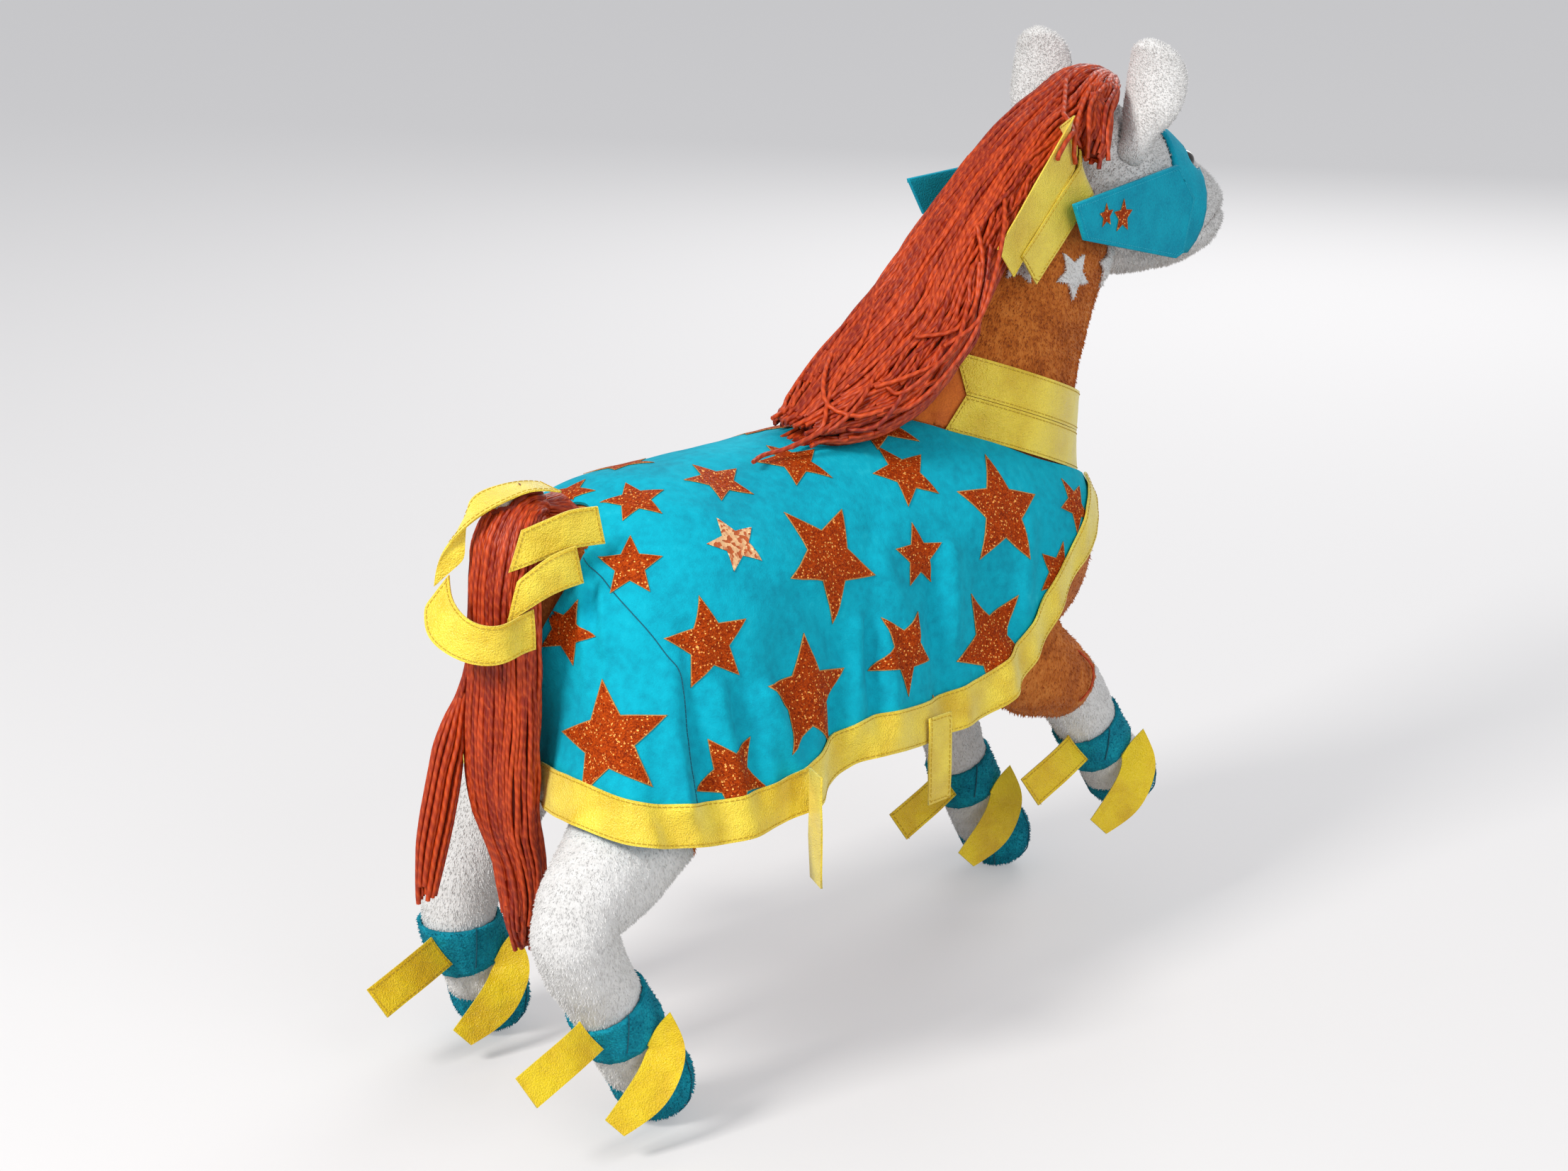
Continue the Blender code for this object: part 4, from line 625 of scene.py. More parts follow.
# Blanket: one panel of turquoise brushed cotton over the back, with a dart sewn down each side of the rump.
# It hangs in soft folds over the flanks, and is gathered where it meets the tail.
turquoise = Finish("turquoise_cloth", 0.88, specular_ior_level=0.2)
cloud = turquoise.grain(0.030, detail=4)
brushed = turquoise.grain(0.0045, (1, 1, 1), 4)
weave = turquoise.grain(0.0006, (1, 1, 1), 1)
blue_shade = cloud * 0.45 + brushed * 0.40 + weave * 0.15
blue = turquoise.mix(turquoise.span(blue_shade, 0.38, 0.56), (0.0, 0.310, 0.435), (0.0, 0.425, 0.570))
blue = turquoise.mix(turquoise.span(blue_shade, 0.58, 0.72), blue, (0.012, 0.52, 0.660))
turquoise_cloth = turquoise.end(blue, brushed * 0.7 + weave * 0.3, 0.0006)

# Each fold runs along a line, and is given as its width, its height and its places on the right flank.
FOLDS = (
    (6, -3.4, (-94.9, -74.8, 238.9), (-76.1, -76.9, 217), (-66, -77, 204)),
    (7, 5.0, (-58, -76.3, 216), (-61, -78.4, 199.6), (-69.7, -80.8, 170)),
    (5, -4.0, (-52.8, -77.5, 216.4), (-54.3, -81, 189), (-56, -82, 161)),
    (5, 3.6, (-44, -77.5, 210), (-45, -80, 186), (-48, -82, 166)),
    (5, -2.8, (-162.1, -69, 234.3), (-164.7, -73.7, 211.5), (-168.3, -83.9, 160.5)),
    (6, 4.4, (-175.3, -73.5, 218.8), (-182.3, -82.9, 160)),
    (5, -2.6, (-140, -82.6, 202.8), (-137.9, -87, 160.3)),
    (6, 4.2, (-152, -80, 206), (-151, -86, 158)),
    (5, -3.0, (-80.6, -80.4, 186.1), (-84.1, -84.3, 158.9)),
    (6, 4.6, (-124, -84, 200), (-112, -88, 152)),
    (6, -2.8, (-0.6, -71.7, 225.8), (-5, -73.7, 192.6)),
    (7, 4.0, (12.5, -71.3, 236.6), (6.7, -73.7, 196)),
    (3.4, 3.4, (-179.1, -25.9, 263.2), (-185.3, -36.9, 247.6), (-189, -46, 228)),
    (3.2, -2.6, (-183.3, -30.3, 258.7), (-191.4, -38.6, 240.6)),
    (3.4, 3.2, (-188, -28, 251), (-195, -36, 232), (-200, -40, 214)),
    (8, 3.6, (-37, -73, 244), (-24, -78, 203)),
    (7, -2.6, (38, -73, 216), (50, -74, 190)),
    (8, 3.2, (74, -70, 236), (64, -72, 200)),
    (8, 2.2, (-110, -62, 262), (-84, -70, 244)),
    (7, -1.6, (-30, -62, 262), (-40, -70, 246)),
)


FOLD_LINES = [(width, tall, [Vector(p) for p in line]) for width, tall, *line in FOLDS]
HEM_FROM, HEM_SPAN = 245, 90


def fold_height(place):
    """How far the cloth stands out of its plain shape at a place, more freely towards the hem."""
    spot = (place - shift) * 1000
    if spot.y > 0:
        spot = Vector((spot.x + 6, -spot.y, spot.z + 4))
    hem = min(max((HEM_FROM - spot.z) / HEM_SPAN, 0), 1)
    height = 1.1 * noise.noise(place * 26) + 0.4 * noise.noise(place * 75)
    height += 8.0 * hem * noise.noise(Vector((spot.x * 0.055, spot.y * 0.02, spot.z * 0.012)))
    for width, tall, line in FOLD_LINES:
        gap = line_gap(spot, line)
        if gap < width * 2.5:
            height += tall * bell(gap, width)
    return 0.001 * max(height, -1.4 - 1.8 * hem) + 0.0006 + 0.0012 * hem


blanket_top = cloth("blanket_panel", "blanket", turquoise_cloth,
                    ["torso"], levels=3, move=fold_height, inset=0)


def on(surface, place, direction=None, lift=0.0003):
    """The nearest place on a surface, or the first one that a line from the place meets."""
    if direction is None:
        spot, normal = surface.find_nearest(place)[:2]
    else:
        spot, normal = surface.ray_cast(place - direction * 0.03, direction, 0.06)[:2]
    return None if spot is None else spot + normal * lift


DART = (
    (-181.6, -24.8, 263.6), (-181.6, -41.1, 252), (-174.8, -63.7, 230.3), (-170.4, -70.5, 214.1),
    (-175.8, -77.1, 186.7),
    (-180.8, -84.3, 157),
)
stitch = new_tree("stitch_row", (
    ("Every", "Float", 0.0026), ("Long", "Float", 0.0018), ("Thick", "Float", 0.00022),
    ("Material", "Material", None),
))
line = stitch.node("GeometryNodeMeshToCurve", None, {"Mesh": stitch.entry.other("Shape")})
spots = stitch.node("GeometryNodeCurveToPoints", {"mode": "LENGTH"}, {
    "Curve": line, "Length": stitch.entry.other("Every")})
bead = stitch.node("GeometryNodeMeshCylinder", None, {
    "Vertices": 5, "Radius": stitch.entry.other("Thick"), "Depth": stitch.entry.other("Long")})
sewn = stitch.node("GeometryNodeInstanceOnPoints", None, {
    "Points": spots, "Instance": bead, "Rotation": spots.other("Rotation")})
stitch_tree = close_tree(stitch, sewn)


def sew(name, rows, material, slot, body_name="horse", **sizes):
    """Rows of short stitches along places."""
    body = bmesh.new()
    for row in rows:
        made = [body.verts.new(place) for place in row]
        for a, b in zip(made, made[1:]):
            body.edges.new((a, b))
    piece = make(name, body, material, False)
    grow(piece, stitch_tree, material=material, **sizes)
    declare(piece, body_name)


FINE_STEPS = 20


def smooth_path(points, count):
    """Even places on a smooth curve through a few points."""
    points = [Vector(p) for p in points]
    ends = [points[0] * 2 - points[1]] + points + [points[-1] * 2 - points[-2]]
    fine = []
    for k in range(FINE_STEPS * (len(points) - 1) + 1):
        n = min(k // FINE_STEPS, len(points) - 2)
        t = k / FINE_STEPS - n
        a, b, c, d = ends[n:n + 4]
        bend = (2 * a - 5 * b + 4 * c - d) * t * t
        fine.append(0.5 * ((2 * b) + (c - a) * t + bend + (3 * b - 3 * c + d - a) * t ** 3))
    reach = [0.0]
    for a, b in zip(fine, fine[1:]):
        reach.append(reach[-1] + (b - a).length)
    path, n = [], 0
    for k in range(count):
        goal = reach[-1] * k / (count - 1)
        while n < len(fine) - 2 and reach[n + 1] < goal:
            n += 1
        share = (goal - reach[n]) / max(reach[n + 1] - reach[n], 0.000001)
        path.append(fine[n].lerp(fine[n + 1], share))
    return path


blue_thread = plain("blue_thread", 0.8, 0.002, (0.0, 0.07, 0.11), (0.0, 0.12, 0.18))
dart_rows = []
for hand in (1, -1):
    dart_rows.append([on(blanket_top, at(p.x, p.y * hand, p.z), None, 0.0001) for p in smooth_path(DART, 60)])
sew("dart_seams", dart_rows, blue_thread, "turquoise_cloth", every=0.0021, long=0.0019, thick=0.00030)

# Stars: glitter film fused to the blanket, each with a pale gold edge.
# One near the hip is a lighter gold than the rest.
glitter = Finish("rust_glitter", 0.6, specular_ior_level=0.08)
flake = glitter.cells(0.0007)
flake_pick = glitter.node("ShaderNodeSeparateColor", None, {0: flake})
# Painted glints: a few flakes are coloured bright gold and made metallic.
painted_glint_flakes = glitter.span(flake_pick.other("Green"), 0.93, 0.95)
rust = glitter.mix(flake_pick, (0.220, 0.018, 0.001), (0.540, 0.070, 0.003))
rust = glitter.mix(painted_glint_flakes, rust, (1.0, 0.50, 0.13))
rust = glitter.mix(glitter.named("rim") * 0.7, rust, (0.62, 0.34, 0.10))
shine = glitter.span(flake_pick.other("Blue"), 0, 1, 0.42, 0.8)
rust_glitter = glitter.end(rust, glitter.cells(0.0007, "Distance"), 0.0004, shine, painted_glint_flakes * 0.8)
holo = Finish("gold_glitter", 0.3)
holo_pick = holo.node("ShaderNodeSeparateColor", None, {0: holo.cells(0.0016)})
gold = holo.mix(holo.span(holo_pick, 0.40, 0.55), (0.50, 0.10, 0.02), (1.0, 0.60, 0.30))
gold_glitter = holo.end(gold, holo.cells(0.0016, "Distance"), 0.0004, None, holo_pick * 0.6)


RING_SPOKES = 50
RINGS = [(k / 12, 0) for k in range(1, 12)] + [(0.955, 0), (0.96, 1), (1, 1)]


def add_star(body, rim, surface, centre, normal, reach, phase, lift, waist=0.46):
    """A five-pointed star laid on a surface, with a thin rim."""
    normal = normal.normalized()
    across = Vector((0, 0, 1)).cross(normal).normalized()
    up = normal.cross(across)
    outline = []
    for k in range(10):
        turn = phase + k * pi / 5
        outline.append((across * cos(turn) + up * sin(turn)) * reach * (waist if k % 2 else 1))
    rings = []
    step = RING_SPOKES // len(outline)
    for share, edge in RINGS:
        ring = []
        for k in range(RING_SPOKES):
            offset = outline[k // step].lerp(outline[(k // step + 1) % 10], k % step / step) * share
            spot = on(surface, centre + offset, -normal, lift)
            ring.append(body.verts.new(spot) if spot else None)
            if spot:
                ring[-1][rim] = edge
        rings.append(ring)
    heart = on(surface, centre, -normal, lift)
    heart = body.verts.new(heart) if heart else None
    for k in range(RING_SPOKES):
        n = (k + 1) % RING_SPOKES
        corners = [(heart, rings[0][k], rings[0][n])]
        corners += [(a[k], b[k], b[n], a[n]) for a, b in zip(rings, rings[1:])]
        for face in corners:
            if all(face):
                body.faces.new(face)


def stars(name, rows, surface, material, body_name="horse", thick=0.0003,
          lift=0.0005):
    """Stars as one piece, each given by its centre, normal, reach in millimetres and one tip's angle."""
    body = bmesh.new()
    rim = body.verts.layers.float.new("rim")
    for centre, normal, reach, phase in rows:
        add_star(body, rim, surface, at(*centre), Vector(normal), reach / 1000, radians(phase), lift)
    piece = make(name, body, material)
    bake(piece, "SOLIDIFY", thickness=thick, offset=-1)
    declare(piece, body_name)
    return piece


TOP_STARS = (
    ((-149, -21.2, 285), (-.24, -.27, .93), 16, 176), ((-101.2, -26.7, 285.9), (0, -.31, .95), 18, 161),
    ((-51.3, -27.5, 285.9), (0, -.33, .94), 20, 159), ((-66, 8, 291), (0, 0, 1), 16, 20),
    ((17, -16, 290.5), (-.01, -.28, .96), 24, 88), ((-118, 22, 287), (0, .2, .98), 18, 40),
    ((-160, 14, 284), (-.2, .2, .9), 15, 70), ((-20, 26, 286), (0, .3, .95), 22, 100),
)
SIDE_STARS = (
    ((5.2, -47.5, 273.5), (-.01, -.66, .75), 20, 168), ((-172.5, -42.7, 262.7), (-.59, -.51, .63), 15.5, 93),
    ((-69.4, -68.4, 250.5), (.02, -.88, .47), 30, 116), ((-8.9, -69.3, 239.1), (.03, -.97, .22), 16.5, 84),
    ((56.6, -66.5, 249), (.01, -.92, .4), 30, 150), ((119.9, -60.6, 238.7), (.3, -.9, .2), 15, 100),
    ((93.5, -70, 210.7), (.11, -.99, .1), 16, 61), ((36.7, -77.8, 186.8), (.01, -.97, .26), 30, 41),
    ((-32.8, -77.9, 198.4), (.12, -.97, .21), 22, 47), ((-12.6, -82.7, 158.9), (.05, -.98, .15), 14, 90),
    ((-100.2, -82.3, 192.5), (.17, -.97, .19), 30, 84), ((-153.4, -75.5, 228.8), (-.25, -.95, .2), 22, 94),
    ((-153.2, -87.7, 169), (-.14, -.96, .25), 21, 45), ((-201.4, -58.9, 190.3), (-.86, -.34, .39), 28, 105),
    ((-196.8, -26.5, 233.7), (-.93, -.32, .17), 16, 71),
)
GOLD_STAR = ((-122.6, -59.5, 266.3), (0, -.73, .68), 15, 93)


def mirrored(rows):
    """The same stars on the left flank, each turned a little."""
    made = []
    for k, ((x, y, z), (a, b, c), reach, phase) in enumerate(rows):
        made.append(((x + 5 - k % 3 * 5, -y, z), (a, -b, c), reach, phase + 12 + 17 * (k % 4)))
    return made


stars("blanket_stars", TOP_STARS + SIDE_STARS + tuple(mirrored(SIDE_STARS)), blanket_top, rust_glitter)
stars("gold_stars", [GOLD_STAR] + mirrored([GOLD_STAR]), blanket_top, gold_glitter)

# Hem: a yellow satin ribbon sewn round the edge of the blanket with gold thread.
# Two short loose tabs of the same ribbon hang from it on each side.
def satin(name, shade, mid, light):
    """Satin ribbon: a smooth face with a painted sheen that pales it where it turns away, painted shade where
    its soft creases sink, and fine ribs across it.
    """
    finish = Finish(name, 0.32, specular_ior_level=0.5)
    painted_sheen_share = finish.node("ShaderNodeLayerWeight", None, {"Blend": 0.35}, "Facing")
    creases_and_painted_shade = finish.grain(0.022, detail=3)
    ribs = finish.grain(0.0007, (1, 1, 1), 1)
    # Painted shade: the colour falls to the shade colour where the crease bump sinks.
    colour = finish.mix(finish.span(creases_and_painted_shade * 0.8 + ribs * 0.2, 0.34, 0.62), shade, mid)
    # Painted sheen: the colour pales to the light colour where the face turns away from the view.
    colour = finish.mix(finish.span(painted_sheen_share, 0.15, 0.85, 0, 0.75), colour, light)
    return finish.end(colour, creases_and_painted_shade * 0.85 + ribs * 0.15, 0.0045, finish.span(ribs, 0.3, 0.7, 0.28, 0.44))


yellow_satin = satin("yellow_satin", (0.70, 0.46, 0.014), (0.93, 0.72, 0.055), (0.98, 0.88, 0.30))
ankle_satin = satin("ankle_satin", (0.72, 0.44, 0.0), (0.93, 0.68, 0.004), (0.97, 0.82, 0.08))
gold_thread = plain("gold_thread", 0.6, 0.002, (0.42, 0.25, 0.008), (0.60, 0.40, 0.02))


def ripple(size, tall, seed=0.0):
    """Soft unevenness of a ribbon."""
    return lambda place: tall * noise.noise((place + Vector((seed, 0, 0))) / size)


def hem_height(place):
    """The hem lies on the blanket's folds, with a small unevenness of its own."""
    return fold_height(place) + 0.0005 + 0.0006 * noise.noise(place * 110)


for side in ("right", "left"):
    cloth("hem_" + side, "hem_ribbon_" + side, yellow_satin,
          ["blanket_panel"], levels=3, move=hem_height)
    for row in ("front", "rear"):
        tab = "hem_tab_" + row + "_" + side
        clear = max(fold_height(v.co) for v in nodes[tab].data.vertices) + 0.0008
        swing = ripple(0.02, 0.0008, 3)
        cloth("tab_" + row + "_" + side, tab, yellow_satin,
              ["hem_" + side], levels=3, move=lambda place: clear + swing(place),
              outward=(0, 1 if side == "left" else -1, 0))

# Collar: a band of orange cotton round the foot of the neck, with two overlapping satin ribbons sewn on it.
orange = Finish("orange_cloth", 0.75, sheen_weight=0.2, sheen_roughness=0.4)
orange_shade = orange.grain(0.012, detail=3) * 0.6 + orange.grain(0.0008, detail=1) * 0.4
orange_colour = orange.mix(orange.span(orange_shade, 0.35, 0.65), (0.55, 0.105, 0.006), (0.80, 0.200, 0.014))
orange_cloth = orange.end(orange_colour, orange_shade, 0.0005)
cloth("collar_band", "collar_lining", orange_cloth, ["neck"],
      levels=1, inset=0)
cloth("collar_satin_lower", "collar_ribbon_lower", yellow_satin,
      ["collar_band"], move=ripple(0.012, 0.0003))
cloth("collar_satin_upper", "collar_ribbon_upper", yellow_satin,
      ["collar_band"], move=ripple(0.012, 0.0003, 4))

# Bridle: a teal felt mask round the face with round eye holes, a black bead for each eye,
# and a stiff creased blinker each side, edge-stitched and marked with two small glitter stars.
felt = Finish("teal_felt", 0.85, specular_ior_level=0.25)
felt_blotch = felt.grain(0.014, detail=3)
felt_hair = felt.grain(0.0009, detail=2)
felt_shade = felt_blotch * 0.5 + felt_hair * 0.5
felt_colour = felt.mix(felt.span(felt_shade, 0.34, 0.66), (0.0, 0.270, 0.410), (0.002, 0.420, 0.570))
teal_felt = felt.end(felt_colour, felt_hair, 0.0004)
cloth_copy("mask_felt", "mask", teal_felt, cuts=1, soft=0.0002)
black_bead = plain("black_bead", 0.12, 0.004, (0.006, 0.005, 0.005), (0.014, 0.011, 0.010), coat_weight=0.6)
felt_thread = plain("felt_thread", 0.7, 0.002, (0.004, 0.36, 0.50), (0.02, 0.52, 0.66))
for side in ("left", "right"):
    cloth_copy("eye_bead_" + side, "eye_" + side, black_bead, cuts=1, soft=0)


def blinker(side):
    """A stiff felt flap: its outer face cut fine, its crease a little rounded, then thickened."""
    body, thick = sheet_of("blinker_" + side, (0, 1 if side == "left" else -1, 0))
    bmesh.ops.subdivide_edges(body, edges=body.edges[:], cuts=7, use_grid_fill=True)
    rest_smooth(body, 8, 3)
    piece = make("flap_" + side, body, teal_felt)
    rows = edge_rows(piece.data, 0.0019)
    surface = thicken(piece, thick)
    bake(piece, "BEVEL", width=0.0004, segments=2, limit_method="ANGLE")
    shade(piece.data)
    declare(piece, "blinker_" + side, "blinker_" + side)
    sew("flap_stitches_" + side, rows, felt_thread, "teal_felt", "blinker_" + side, every=0.0024,
        long=0.0017, thick=0.00022)
    return surface, thick


BLINKER_STARS = (
    ((148, -53.5, 383.4), (-0.13, -0.99, 0), 6.5, 92), ((164, -51.4, 380.8), (-0.13, -0.99, 0), 9, 86),
)
flaps = {side: blinker(side) for side in ("left", "right")}
for side in ("left", "right"):
    flap_top, flap_thick = flaps[side]
    hand = 1 if side == "left" else -1
    marks, inner = [], []
    for (x, y, z), (a, b, c), reach, phase in BLINKER_STARS:
        marks.append(((x, -y * hand, z), (a, -b * hand, c), reach, phase))
        inner.append(((x, -y * hand, z), (-a, b * hand, -c), reach, phase))
    stars("flap_stars_" + side, marks, flap_top, rust_glitter, "blinker_" + side)
    stars("flap_back_stars_" + side, inner, flap_top, rust_glitter, "blinker_" + side,
          lift=-flap_thick - 0.0003)

# Cheek ribbons: two satin strips side by side on the right of the neck, from under the forelock.
cheek_tops = []
for row, long, seed in (("front", 0.096, 0), ("back", 0.098, 2)):
    cheek_tops.append(cloth("cheek_satin_" + row, "cheek_ribbon_" + row, yellow_satin,
                            ["neck"], move=ripple(0.016, 0.0004, seed), crisp=True))

# Tail: a thick hank of twisted yarn sewn over the stump, with one thinner lock to its left.
# Four satin ribbons cross it in flat loops.
yarn = Finish("red_yarn", 0.48, specular_ior_level=0.4)
PLY_PITCH = 0.0058
turn = yarn.named("along") * (2 * pi / PLY_PITCH)
ply_relief_and_painted_light = turn.join("SINE", turn, 0.0) * yarn.named("ring_cos")
ply_relief_and_painted_light = ply_relief_and_painted_light + turn.join("COSINE", turn, 0.0) * yarn.named("ring_sin")
dye = yarn.named("tint") * 0.6 + yarn.grain(0.012, detail=2) * 0.4
yarn_colour = yarn.mix(yarn.span(dye, 0.2, 0.8), (0.27, 0.014, 0.001), (0.60, 0.062, 0.006))
# Painted shade in the grooves between the plies and painted highlight on their crests, from the same twist as
# the bump.
yarn_colour = yarn.mix(yarn.span(ply_relief_and_painted_light, -0.9, 0.2, 0.30, 0), yarn_colour, (0.16, 0.008, 0.001))
yarn_colour = yarn.mix(yarn.span(ply_relief_and_painted_light, 0.4, 1.0, 0, 0.26), yarn_colour, (0.80, 0.16, 0.028))
red_yarn = yarn.end(yarn_colour, ply_relief_and_painted_light, 0.00016)
# Painted shade: the hidden core is a darker red, for the shade deep between the strands.
yarn_core = plain("yarn_core", 0.7, 0.003, (0.10, 0.006, 0.001), (0.28, 0.022, 0.003))

spin = new_tree("yarn_strand", (("Radius", "Float", 0.0016), ("Material", "Material", None)))
strand = spin.node("GeometryNodeMeshToCurve", None, {"Mesh": spin.entry.other("Shape")})
STRAND_SIDES = 5
ring = spin.node("GeometryNodeCurvePrimitiveCircle", {"mode": "RADIUS"}, {
    "Resolution": STRAND_SIDES, "Radius": spin.entry.other("Radius")})
place_in_ring = spin.node("GeometryNodeInputIndex") * (2 * pi / STRAND_SIDES)
for label, operation in (("ring_cos", "COSINE"), ("ring_sin", "SINE")):
    values = {"Geometry": ring, "Name": label, "Value": place_in_ring.join(operation, place_in_ring, 0.0)}
    settings = {"data_type": "FLOAT", "domain": "POINT"}
    ring = spin.node("GeometryNodeStoreNamedAttribute", settings, values)
values = {"Curve": strand, "Profile Curve": ring, "Fill Caps": True}
tube = spin.node("GeometryNodeCurveToMesh", None, values)
spin_tree = close_tree(spin, tube)


def yarn_strands(name, paths, body_name, radius=0.0016, seed=1):
    """Twisted yarn along paths, one strand each, a little lighter or darker one by one."""
    chance = random.Random(seed)
    body = bmesh.new()
    along = body.verts.layers.float.new("along")
    tint = body.verts.layers.float.new("tint")
    for path in paths:
        shade, last, reach = chance.random(), None, chance.random() * 0.005
        for place in path:
            made = body.verts.new(place)
            if last:
                body.edges.new((last, made))
                reach += (made.co - last.co).length
            made[along], made[tint] = reach, shade
            last = made
    piece = make(name, body, red_yarn, False)
    grow(piece, spin_tree, radius=radius, material=red_yarn)
    piece.data.shade_smooth()
    declare(piece, body_name)
    return piece


class Hank:
    """Where strands of yarn may lie: on a solid's surface, round a middle line through it."""

    def __init__(self, node, route, side, stations=36, far=0.05, spokes=48):
        surface = self.surface = surface_of(node)
        self.line = [at(*p) for p in smooth_path(route, stations)]
        self.frames, self.reaches, self.spokes = [], [], spokes
        for k, place in enumerate(self.line):
            ahead = (self.line[min(k + 1, stations - 1)] - self.line[max(k - 1, 0)]).normalized()
            across = (Vector(side) - ahead * ahead.dot(Vector(side))).normalized()
            self.frames.append((across, ahead.cross(across)))
            found = []
            for n in range(spokes):
                spoke = self.spoke(k, 2 * pi * n / spokes)
                hit = surface.ray_cast(place + spoke * far, -spoke, far)
                found.append(far - hit[3] if hit[0] else 0.003)
            self.reaches.append(found)

    def spoke(self, k, turn):
        across, up = self.frames[k]
        return across * cos(turn) + up * sin(turn)

    def dome(self, turn, sunk, start):
        """Places over the closed end of the solid, from near its tip to the first ring."""
        ahead = (self.line[1] - self.line[0]).normalized()
        made = []
        for k in range(6):
            lean = start + (pi / 2 - start) * k / 6
            out = (self.spoke(0, turn) * sin(lean) - ahead * cos(lean)).normalized()
            hit = self.surface.ray_cast(self.line[0] + out * 0.04, -out, 0.04)
            if hit[0]:
                made.append(hit[0] - out * sunk)
        return made

    def place(self, share, turn, sunk):
        """A place at a share of the way along, at a turn round the middle line, sunk below the surface."""
        if share > 1:
            past = (self.line[-1] - self.line[-2]) * (len(self.line) - 1) * (share - 1)
            return self.place(1, turn, sunk) + past
        reach = max(share, 0) * (len(self.line) - 1)
        k = min(int(reach), len(self.line) - 2)
        t = reach - k
        n = turn / (2 * pi) * self.spokes
        near, far = int(n // 1) % self.spokes, int(n // 1 + 1) % self.spokes
        f = n % 1
        ends = []
        for row in (k, k + 1):
            out = self.reaches[row][near] * (1 - f) + self.reaches[row][far] * f
            ends.append(self.line[row] + self.spoke(row, turn) * max(out - sunk, 0.0005))
        return ends[0].lerp(ends[1], t)


def hank_core(name, node, body_name, shrink=0.0022):
    """The hidden middle of a hank, a darker red as painted shade between its strands."""
    body = gather(node)
    body.normal_update()
    for v, move in [(v, v.normal * -shrink) for v in body.verts]:
        v.co += move
    piece = make(name, body, yarn_core)
    declare(piece, body_name)


TAIL_ROUTE = (
    (-190, -3, 283), (-198, -4, 287), (-207, -5, 283), (-213.5, -6, 268), (-217, -6.2, 250),
    (-218.5, -7.8, 225), (-219, -6.5, 195), (-219.2, -5, 168), (-217.2, -4.5, 141), (-214, -7, 124),
    (-212.6, -9.2, 107), (-212.8, -9, 92), (-212, -9, 81),
)
tail_hank = Hank("tail_yarn", TAIL_ROUTE, (0, 1, 0), 44, 0.03)
STUMP = (((-168, -2, 266), 0.0085), ((-178, -3, 275), 0.0105), ((-185, -3, 280), 0.0115))
chance = random.Random(11)
TAIL_STRANDS, LOCK_STRANDS, STRAND_STATIONS = 150, 24, 46
TAIL_RING, LOCK_RING = TAIL_STRANDS // 2, LOCK_STRANDS // 2
tail_paths = []
for k in range(TAIL_STRANDS):
    turn = 2 * pi * k / TAIL_RING + chance.uniform(-0.03, 0.03)
    end = chance.uniform(0.86, 1.015)
    lean = chance.uniform(-0.25, 0.25)
    sunk = chance.uniform(0.0002, 0.0020) + (0.0015 if k >= TAIL_RING else 0)
    path = [at(*root) + tail_hank.spoke(0, turn) * out for root, out in STUMP]
    path += tail_hank.dome(turn, sunk, 0.9)
    for n in range(STRAND_STATIONS):
        share = 0.01 + (end - 0.01) * n / (STRAND_STATIONS - 1)
        wave = 0.12 * noise.noise(Vector((k * 3.1, share * 5, 0)))
        dip = 0.0016 * noise.noise(Vector((k * 1.7, share * 9, 5)))
        path.append(tail_hank.place(share, turn + lean * share + wave, sunk + dip))
    tail_paths.append(path)
tail_strands = yarn_strands("tail_strands", tail_paths, "tail", 0.00115, 2)
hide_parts("tail_yarn")
hank_core("tail_core", "tail_yarn", "tail", 0.0034)

LOCK_ROUTE = (
    (-229.5, 16, 190), (-231.5, 16.4, 178), (-235.5, 17, 164.6), (-239, 18, 145), (-241.9, 19, 130),
    (-244.3, 19.6, 115), (-246, 20, 102),
)
lock_hank = Hank("tail_lock", LOCK_ROUTE, (0, 1, 0), 24)
lock_paths = []
for k in range(LOCK_STRANDS):
    turn = 2 * pi * k / LOCK_RING + (0.3 if k >= LOCK_RING else 0)
    sunk = 0.0012 + (0.0022 if k >= LOCK_RING else 0)
    end = chance.uniform(0.86, 1.0)
    path = []
    for n in range(STRAND_STATIONS):
        share = n / (STRAND_STATIONS - 1)
        apart = min(max((share - 0.22) / 0.34, 0), 1)
        apart = apart * apart * (3 - 2 * apart)
        beside = tail_hank.place(0.12 + 0.70 * share, -0.80 + 0.09 * (k % LOCK_RING), 0.0016)
        alone = lock_hank.place(min(max((share - 0.45) / 0.55, 0.01), 1) * end, turn + 0.5 * share, sunk)
        path.append(beside.lerp(alone, apart))
    lock_paths.append(path)
lock_strands = yarn_strands("tail_lock_strands", lock_paths, "tail", 0.0012, 3)
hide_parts("tail_lock")

BOW_LENGTHS = {"loop_upper": 0.062, "loop_lower": 0.066, "end_upper": 0.052, "end_lower": 0.042}
for name, length in BOW_LENGTHS.items():
    cloth("tail_satin_" + name, "tail_ribbon_" + name, yellow_satin,
          ["tail_strands"], "tail", move=ripple(0.014, 0.0003))

